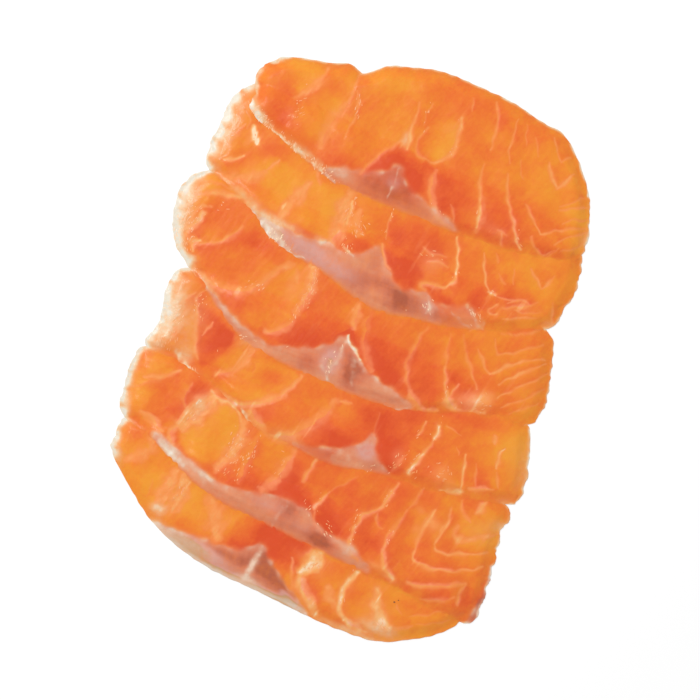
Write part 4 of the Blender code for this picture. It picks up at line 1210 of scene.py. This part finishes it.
# Slice 2
# The grey band is broad and silvery here, since the knife left more of the skin's lining on it, with a
# white lip at its belly end. It rests on slice 3.
lay_slice(
    "slice_2",
    sides=(
        [(-78.6, 38), (-65, 32.2), (-58, 28.2), (-50, 23.8), (-42, 20.2), (-20, 16), (0, 11.2),
         (18, 13.8), (38, 18), (64.6, 30)],
        [(68.4, 40), (69.6, 50)],
        [(64, 64), (40, 71), (10, 73), (-25, 74), (-55, 76), (-72, 75)],
        [(-79.6, 66), (-80, 56), (-80.6, 47)],
    ),
    shown=0.7,
    below="slice_3",
    seed=20,
    tone=(0.32, [
        (-0.1, 10, 6, 0, -50, 44), (0.15, 8, 4, 30, -68, 46), (0.3, 6, 4, 0, -57, 54),
        (0.3, 10, 1.6, -2, -35, 28.5), (0.1, 6, 4, -10, -14, 32), (0.3, 14, 6, 0, 5, 45),
        (0.3, 8, 6, 0, 9, 36), (0.18, 5, 4, 0, 37, 29), (0.2, 10, 8, 0, 33, 38),
        (-0.12, 10, 8, 0, 50, 47), (0.33, 8, 5, 0, 49, 35), (0.3, 5, 2, -5, 25, 25),
        (-0.15, 5, 5, 0, -16, 42), (0.2, 6, 4, 0, -2, 40), (0.15, 8, 6, 0, 8, 28),
        (0.12, 12, 6, 0, 14, 44), (-0.3, 7, 4, 0, -68, 32),
        (0.15, 6, 5, 0, 15, 38), (0.2, 9, 3, 10, 33, 25), (0.18, 4, 4, 0, 20, 30),
        (-0.15, 3, 5, 0, -20, 38),
    ]),
    zones=[
        (3.1, -0.17, [(-42, 47), (-25, 48), (-25.5, 38), (-24.5, 30), (-33, 29.5), (-44, 29.5),
                      (-44, 38)]),
        (3.1, -0.13, [(-57, 50), (-45, 48), (-46, 38), (-48, 32), (-56, 32), (-64, 38)]),
        (3.4, 0.34, [(-3.5, 34.5), (1, 34), (8, 34), (14, 31), (13, 27), (13, 24), (9, 23), (4, 25),
                    (-0.5, 29.5)]),
        (2.0, 0.19, [(-23, 34), (-15, 35), (-8, 34), (-7, 31), (-10.5, 28.5), (-16, 26.5), (-22.5, 28)]),
        (2.0, 0.15, [(34, 34), (39, 33.5), (42, 31), (40, 28), (36, 27.5), (33, 29)]),
    ],
    veins=[
        (1.6, 0.75, 0.68, [(-67, 47), (-70, 44.5), (-73, 43)]),
        (2.8, 0.86, 0.86, [(-67.5, 58.5), (-66, 55.5), (-63.8, 52.8)]),
        (4.6, 0.35, 0.42, [(-57, 44), (-61, 40.5), (-67, 37.5), (-74, 37)]),
        (6.0, 0.56, 0.66, [(-76, 36.5), (-68, 33.5), (-60, 30.5), (-53, 27.5)]),
        (1.0, 0.5, 0.45, [(-54, 50.5), (-56.5, 45)]),
        (1.2, 0.5, 0.4, [(-76, 62), (-73.5, 58), (-75, 54)]),
        (1.2, 0.45, 0.4, [(-71, 59), (-73, 55), (-76, 53)]),
        (1.2, 0.5, 0.4, [(-76, 50), (-73, 46), (-75.5, 42)]),
        (1.0, 0.4, 0.35, [(-73, 63), (-70, 60.5), (-69.5, 57)]),
        (1.4, 0.45, 0.3, [(-39, 53), (-37.5, 50), (-36.5, 48)]),
        (5.0, 0.44, 0.5, [(-40, 46), (-42, 41), (-44, 35), (-45, 30)]),
        (6.4, 0.5, 0.46, [(-24, 49), (-24, 42), (-22.5, 36), (-24, 29)]),
        (1.6, 0.75, 0.6, [(-22, 47), (-21.2, 43), (-21, 38)]),
        (1.0, 0.5, 0.35, [(-6.5, 49), (-6, 45), (-5, 38)]),
        (3.0, 0.44, 0.38, [(-18.5, 45), (-17.5, 40), (-15.5, 36)]),
        (1.8, 0.4, 0.36, [(-16, 38), (-13, 36.5)]),
        (1.2, 0.3, 0.26, [(9.5, 40.5), (14, 40), (19, 41)]),
        (1.2, 0.28, 0.24, [(13, 36.5), (17, 38), (21, 37)]),
        (1.0, 0.4, 0.35, [(47, 33.5), (52, 36.5), (56, 36)]),
        (1.0, 0.22, 0.2, [(51, 32), (55, 32.5), (60, 35)]),
        (1.4, 0.5, 0.45, [(-5.5, 36), (-3, 32), (0.5, 28)]),
        (1.3, 0.72, 0.9, [(20, 49.5), (22, 45), (24, 40), (25.3, 36)]),
        (1.5, 0.66, 0.56, [(25.3, 36), (25.2, 33), (23.5, 30.3)]),
        (2.2, 0.44, 0.44, [(23.5, 30), (20, 28.6), (16.5, 28.6), (14.8, 27), (16.5, 25.5)]),
        (1.0, 0.45, 0.7, [(32, 48), (34, 43), (36.5, 38.5), (39, 35.5)]),
        (2.2, 0.75, 0.75, [(39, 35), (42, 34.3)]),
        (0.9, 0.35, 0.3, [(36, 49), (38, 46)]),
        (0.9, 0.4, 0.3, [(40, 43), (42, 40.5), (44, 39.5)]),
        (0.9, 0.4, 0.3, [(44.5, 46), (46.8, 41)]),
        (1.2, 0.45, 0.5, [(51, 49), (54, 46), (57.5, 43.5)]),
        (1.2, 0.5, 0.35, [(57.5, 43.5), (59, 47), (60, 50)]),
        (1.2, 0.4, 0.4, [(43, 34), (50, 35.5)]),
        (1.0, 0.45, 0.4, [(44, 31), (41.5, 29), (43, 27), (45, 28)]),
        (1.4, 0.26, 0.24, [(46, 31), (50, 33), (54, 35), (58, 38)]),
        (1.2, 0.35, 0.3, [(48, 27), (54, 30), (60, 33)]),
        (1.2, 0.35, 0.4, [(63, 40), (65, 36), (66, 33)]),
    ],
    bands=[
        (4.4, 0.45, [(19, 23.5), (23, 22.5), (29, 24), (33, 26.5), (37, 25.5), (41, 21.5), (40, 18),
                     (27, 13)]),
        (2.8, 0.9, [(-57, 28.5), (-50, 27.5), (-42, 27.2), (-34, 26.7), (-28, 27.5), (-24, 28.5),
                    (-17, 27), (-11, 29.5), (-5.5, 35), (-1, 29), (4, 24.8), (9, 22.8), (14, 24.5),
                    (18, 24.5), (22, 22.5), (26, 19.5), (28, 15), (25, 10), (0, 7), (-20, 12),
                    (-42, 16), (-56, 23)]),
    ],
    dusk=(0.3, [(0.6, 5, 4, 10, 9.5, 18.5), (0.42, 9, 4, 0, 1, 22), (0.25, 9, 3, 0, -15, 20),
                (0.4, 4, 4, 0, -5, 30), (0.45, 9, 3, 0, 25, 19), (-0.1, 5, 3, -20, 36, 24),
                (-0.1, 6, 4, 0, -8, 29), (0.15, 6, 4, 0, -10, 20)]),
    grey=[(1.2, 6, 3.4, -18, -47.5, 24.3), (0.4, 9, 4, -8, -30, 22.5), (0.2, 8, 4, 0, -16, 20),
          (0.2, 3, 4, 0, 20, 21)],
    pale=[(0.5, 1.8, 16, 0, -79.2, 56), (0.35, 3.5, 14, 0, -76, 54), (0.3, 6, 3, -20, -47, 25.5),
          (0.3, 9, 2.5, -12, -60, 32), (0.2, 5, 4, 0, -68, 31), (0.35, 10, 1.8, -1, -44, 28.8),
          (0.3, 4, 1.8, -10, -26, 28.5), (0.25, 3, 2, 0, 65, 32)],
    lips=[
        (3.4, 0.62, 0.5, [(-56, 27.4), (-50, 24.8), (-44, 22.4), (-38, 20.6)]),
        (1.0, 0.45, 0.4, [(-38, 19.8), (-30, 19.3)]),
        (1.4, 0.4, 0.35, [(-18.5, 29.5), (-16, 28), (-14, 27.5)]),
        (1.6, 0.22, 0.18, [(33, 27), (36, 25), (39, 23)]),
        (1.4, 0.25, 0.2, [(29, 22), (34, 20), (40, 19.5)]),
        (1.2, 0.2, 0.25, [(38, 25.5), (41, 23), (42.5, 20.5)]),
        (1.0, 0.45, 0.4, [(19, 22.5), (20.5, 20.5), (20, 18)]),
    ],
    blush=[(0.3, 6, 5, 10, 15, 36), (0.2, 8, 3, 20, 52, 33)],
    crags=[(0.8, 4, 16, 0, -77, 52), (0.8, 8, 3, -18, -47, 24), (0.5, 7, 3, -8, -34, 20.5),
           (0.4, 6, 5, 0, 14, 38), (0.4, 10, 4, 20, 52, 32), (0.5, 4, 3, 0, 39, 25),
           (0.4, 3, 7, 0, -24, 38)],
    flecks=[(0.9, 2.5, 9, 0, -75, 57), (0.7, 8, 1.6, -18, -46, 23.5), (0.8, 1, 4, -8, -21.5, 43),
            (1.6, 2.4, 3, 0, -16, 38), (1.4, 0.8, 4, 5, -21, 45), (1.2, 2.5, 1.5, -30, -17.5, 30.5),
            (0.7, 1, 5, 0, -6, 44), (0.6, 1, 4, -15, 25, 36), (0.7, 3, 2, 0, 13, 38),
            (0.7, 3, 2, 0, 38, 24), (0.8, 1, 2, 0, 20, 20.5), (0.7, 1.5, 1.5, 0, 13, 15.5),
            (0.7, 1.5, 1, 0, 41, 34.5)],
)

# Slice 1, the uppermost
# It lies open along its whole depth, so it shows every sheet of fat from flesh edge to skin edge. It
# rests on slice 2 and on the plate behind it.
lay_slice(
    "slice_1",
    sides=(
        [(-70, 63), (-52, 56.5), (-32, 50.3), (0, 49.6), (30, 50.6), (50, 53.3), (64.5, 57.5)],
        [(67, 64), (65, 73)],
        [(60.5, 83.3), (52, 94), (42.5, 101.4), (34, 102.4), (20, 105.2), (4, 106), (-10, 105.7),
         (-20, 103), (-29, 100), (-36, 94), (-39, 94), (-43, 95.2), (-50, 92.6), (-60, 90.3), (-68.5, 87)],
        [(-74.4, 79), (-72.6, 70.5)],
    ),
    shown=0.86,
    below="slice_2",
    seed=10,
    tone=(0.42, [
        (-0.28, 13, 5, 20, -24, 95), (0.15, 20, 5, -5, 5, 98), (0.13, 7, 6, 0, -12, 66),
        (0.1, 9, 7, 0, 12, 62), (0.2, 9, 8, 0, 33, 60), (0.2, 5, 8, 0, -62, 77),
        (0.3, 5, 6, -20, -59, 66), (-0.18, 8, 4, 0, -60, 87), (-0.1, 14, 10, 0, -45, 76),
        (-0.22, 14, 14, 0, 48, 85), (-0.3, 8, 6, 0, 60, 74), (0.12, 10, 6, 0, 58, 57),
        (0.15, 8, 4, 0, -33, 58), (-0.12, 8, 8, 0, -22, 80), (0.35, 3, 4, 0, -3, 62),
        (-0.15, 16, 5, 0, -42, 70), (0.3, 10, 6, 0, -10, 62), (-0.2, 5, 6, 0, 62, 63),
        (-0.12, 4, 5, 0, 28, 62),
    ]),
    zones=[
        (2.7, 0.19, [(-23, 57), (-20, 63), (-16, 69), (-13, 73), (-9, 73), (-4, 71), (2.5, 70),
                    (2.5, 62), (6, 57), (0, 57.5), (-5, 61), (-10, 66), (-16, 61)]),
        (4.4, 0.14, [(4, 70), (12, 71), (18, 70.5), (22, 65), (24, 58), (23, 52.5), (16, 54),
                     (10, 56), (5, 63)]),
        (7.0, -0.24, [(-3, 73.5), (3, 72.5), (7, 77), (7, 85), (4, 89), (-1, 87), (-4, 80)]),
        (3.4, 0.10, [(26, 66), (33, 68), (38, 61), (43, 55), (36, 53), (28, 53), (25, 58)]),
        (3.4, -0.10, [(-66, 87), (-53, 90), (-52, 84), (-56, 78), (-66, 80)]),
    ],
    veins=[
        (2.8, 0.42, 0.35, [(-50, 90), (-51, 85), (-53, 80), (-57, 75)]),
        (1.6, 0.4, 0.35, [(-37.5, 94), (-38, 88), (-37.5, 82), (-39, 76)]),
        (1.2, 0.4, 0.35, [(-36.5, 86), (-34, 81), (-33.5, 75), (-34, 68)]),
        (4.4, 0.36, 0.36, [(-38, 80), (-40, 74), (-41.5, 68), (-41.5, 61)]),
        (2.0, 0.3, 0.36, [(-13.5, 75), (-17.5, 69.5), (-20.5, 64), (-23.5, 57.5)]),
        (1.2, 0.38, 0.52, [(-12.5, 91), (-12, 85), (-11.5, 80), (-10.5, 73)]),
        (0.9, 0.35, 0.3, [(-8.3, 93), (-8.4, 84)]),
        (1.6, 0.3, 0.3, [(-6, 84), (-8, 78), (-6.5, 73.5), (-1, 71.5)]),
        (2.0, 0.5, 0.45, [(4, 92), (5.5, 86), (6.3, 80), (4.5, 75), (0, 71.8)]),
        (2.6, 0.36, 0.46, [(3, 70), (3.3, 65), (5, 60), (9, 55)]),
        (2.2, 0.4, 0.3, [(8, 55.5), (12, 53), (18, 51.3)]),
        (2.0, 0.3, 0.3, [(5, 59), (7, 56), (9, 53.5)]),
        (0.9, 0.35, 0.35, [(13, 60), (15, 57), (16.5, 54)]),
        (1.2, 0.4, 0.4, [(14, 103), (17, 98), (18.5, 91), (19, 85)]),
        (0.9, 0.3, 0.3, [(5, 101), (7, 96)]),
        (1.3, 0.35, 0.6, [(18.5, 79), (20, 73), (22, 67), (23, 64)]),
        (2.0, 0.8, 0.8, [(23.5, 63.5), (24.5, 60), (25.3, 56)]),
        (4.0, 0.25, 0.35, [(23, 66), (25, 60), (26, 55)]),
        (0.9, 0.4, 0.35, [(24.5, 100), (25, 93), (26, 87), (27.5, 83)]),
        (1.3, 0.4, 0.75, [(28.5, 79), (31, 73), (34.5, 66.5), (38, 62), (41, 57), (44, 54.5)]),
        (0.8, 0.3, 0.3, [(28, 99), (31, 92)]),
        (0.8, 0.3, 0.3, [(33, 96), (37, 90)]),
        (0.8, 0.3, 0.3, [(31, 86), (35, 79)]),
        (1.0, 0.4, 0.4, [(40, 99), (43, 94), (46, 91)]),
        (1.0, 0.35, 0.3, [(46, 91), (48.5, 94)]),
        (1.4, 0.4, 0.6, [(41.5, 89), (44.5, 84.5), (48, 81)]),
        (1.6, 0.6, 0.45, [(48, 81), (50, 84.5), (52, 88.5)]),
        (1.2, 0.4, 0.5, [(39.5, 71), (43, 67.5), (48.5, 62.5)]),
        (1.2, 0.45, 0.35, [(48.5, 62.5), (52, 64.5), (57, 68), (64, 71)]),
        (1.1, 0.35, 0.35, [(52, 75), (56, 79), (60, 82)]),
        (1.1, 0.35, 0.35, [(52, 73.5), (57, 76.5), (62, 79)]),
        (1.1, 0.35, 0.35, [(55, 69.5), (60, 73), (64, 75)]),
        (1.1, 0.35, 0.35, [(55, 61), (60, 66), (65, 70)]),
        (1.0, 0.3, 0.3, [(58, 59), (62, 62), (66, 66)]),
        (1.1, 0.45, 0.35, [(46, 60), (49, 57), (53, 55.5), (56, 59)]),
        (1.0, 0.25, 0.25, [(33, 58), (37, 57)]),
        (1.0, 0.4, 0.4, [(35, 57), (37, 53), (39, 50)]),
        (1.0, 0.35, 0.35, [(50, 57), (54, 55), (57, 60)]),
    ],
    bands=[
        (3.6, 0.66, [(-36, 53.5), (-30, 57), (-25, 57.5), (-18, 60), (-14, 62.5), (-10.5, 66),
                     (-7, 62), (-3, 59), (3, 57), (9, 55.5), (15, 54), (19, 51), (10, 46), (-20, 45),
                     (-36, 49)]),
    ],
    dusk=(0.5, [(0.6, 6, 4, 0, -7, 57.5), (0.2, 9, 5, 0, -8, 60), (-0.35, 6, 4, 0, -29, 54.5),
                (-0.15, 6, 2.5, 0, 10, 54), (0.3, 6, 4, 0, -18, 56)]),
    grey=[(0.2, 4, 3, 0, -10, 59)],
    pale=[(0.5, 5, 2.2, -20, -65, 61.5), (0.3, 4, 2.2, -12, -30, 54.5), (0.3, 8, 1.8, -16, -45, 57),
          (0.4, 1.6, 3, 15, -12.5, 76.5), (-0.5, 3, 6, 0, -73.5, 76), (-0.5, 4, 3.5, 50, -70, 83.5),
          (0.25, 3, 6, 0, 66, 68), (0.2, 7, 2, -22, 12, 53)],
    lips=[
        (3.2, 0.55, 0.6, [(-72, 67), (-70, 63.5), (-66, 61)]),
        (1.6, 0.3, 0.3, [(-66, 60.2), (-61, 59.4)]),
        (2.2, 0.55, 0.6, [(-60, 59.4), (-57, 59), (-53, 58)]),
        (1.2, 0.28, 0.28, [(-53, 57.8), (-51, 57)]),
        (2.4, 0.6, 0.58, [(-50.5, 57), (-47.5, 56), (-45.5, 55.4)]),
        (1.4, 0.28, 0.28, [(-45, 55), (-42.5, 54.2)]),
        (2.2, 0.58, 0.5, [(-42, 54.2), (-39.5, 53.6), (-37.5, 53)]),
        (1.6, 0.36, 0.4, [(-37, 52.5), (-33.5, 51.6), (-31, 51)]),
        (1.0, 0.3, 0.3, [(-10.5, 65), (-10, 59), (-10, 53)]),
    ],
    blush=[(0.35, 2, 4, 0, -12, 76), (0.2, 6, 3, 0, 33, 57), (0.2, 3, 3, 0, 1, 86)],
    crags=[(0.8, 5, 3, -25, -68, 62), (0.6, 3, 5, 0, -55, 70), (0.5, 3, 8, 0, -36, 84),
           (0.4, 2.5, 4, 0, -12, 76), (0.4, 10, 3, 0, 36, 56), (0.4, 2, 9, 0, 4, 84)],
    flecks=[(0.8, 2, 4, 0, -54.5, 71), (2.2, 5, 2.2, -20, -67, 62.5), (1.6, 10, 1.2, -17, -52, 58),
            (1.8, 5, 1.2, -18, -37, 53), (0.7, 1.5, 5, 10, -34, 82), (0.7, 1, 4, 0, -8.4, 88),
            (0.8, 1, 3, 0, 5.5, 78), (0.6, 1.2, 3, 0, 4.5, 89), (0.8, 0.8, 3.5, 5, 24, 60),
            (0.6, 3, 1.5, 0, 12, 56), (0.5, 1.2, 3, 20, 42, 57)],
)

# The plate's place, light and camera
# A bare white ground, one broad soft light from the photograph's upper left, and light from all round.
FLOOR_SIZE = 3.0
FLOOR_DROP = 0.0001
FLOOR_WHITE = (0.99, 0.99, 0.99, 1)
FLOOR_ROUGHNESS = 0.8
CAMERA_TURN = math.radians(22.5)
CAMERA_HEIGHT = 0.743
CAMERA_PLACE = (-0.00075, -0.00585)
LENS = 100.0
KEY_SIZE = 0.75
KEY_POWER = 13.0
KEY_PLACE = (-0.85, 0.38, 1.3)
SKY_STRENGTH = 0.68


def add_floor():
    """A matt white ground just under the slices, which belongs to the stage."""
    bpy.ops.mesh.primitive_plane_add(size=FLOOR_SIZE, location=(0, 0, -FLOOR_DROP))
    floor = bpy.context.object
    floor.name = "floor"
    material = bpy.data.materials.new("white_ground")
    material.use_nodes = True
    shader = material.node_tree.nodes["Principled BSDF"]
    shader.inputs["Base Color"].default_value = FLOOR_WHITE
    shader.inputs["Roughness"].default_value = FLOOR_ROUGHNESS
    shader.inputs["Specular IOR Level"].default_value = 0.0
    floor.data.materials.append(material)


def add_light_and_camera():
    """The sky, the broad lamp, and the camera straight above."""
    scene = bpy.context.scene
    scene.view_settings.view_transform = "Standard"
    world = bpy.data.worlds.new("sky")
    world.use_nodes = True
    world.node_tree.nodes["Background"].inputs["Strength"].default_value = SKY_STRENGTH
    world.node_tree.nodes["Background"].inputs["Color"].default_value = (1, 1, 1, 1)
    scene.world = world
    key = bpy.data.lights.new("key", "AREA")
    key.size = KEY_SIZE
    key.energy = KEY_POWER
    lamp = bpy.data.objects.new("key", key)
    lamp.location = KEY_PLACE
    lamp.rotation_euler = (-Vector(KEY_PLACE)).to_track_quat("-Z", "Y").to_euler()
    scene.collection.objects.link(lamp)
    lens = bpy.data.cameras.new("camera")
    lens.lens = LENS
    camera = bpy.data.objects.new("camera", lens)
    camera.location = (*CAMERA_PLACE, CAMERA_HEIGHT)
    camera.rotation_euler = (0, 0, CAMERA_TURN)
    scene.collection.objects.link(camera)
    scene.camera = camera


add_floor()
add_light_and_camera()
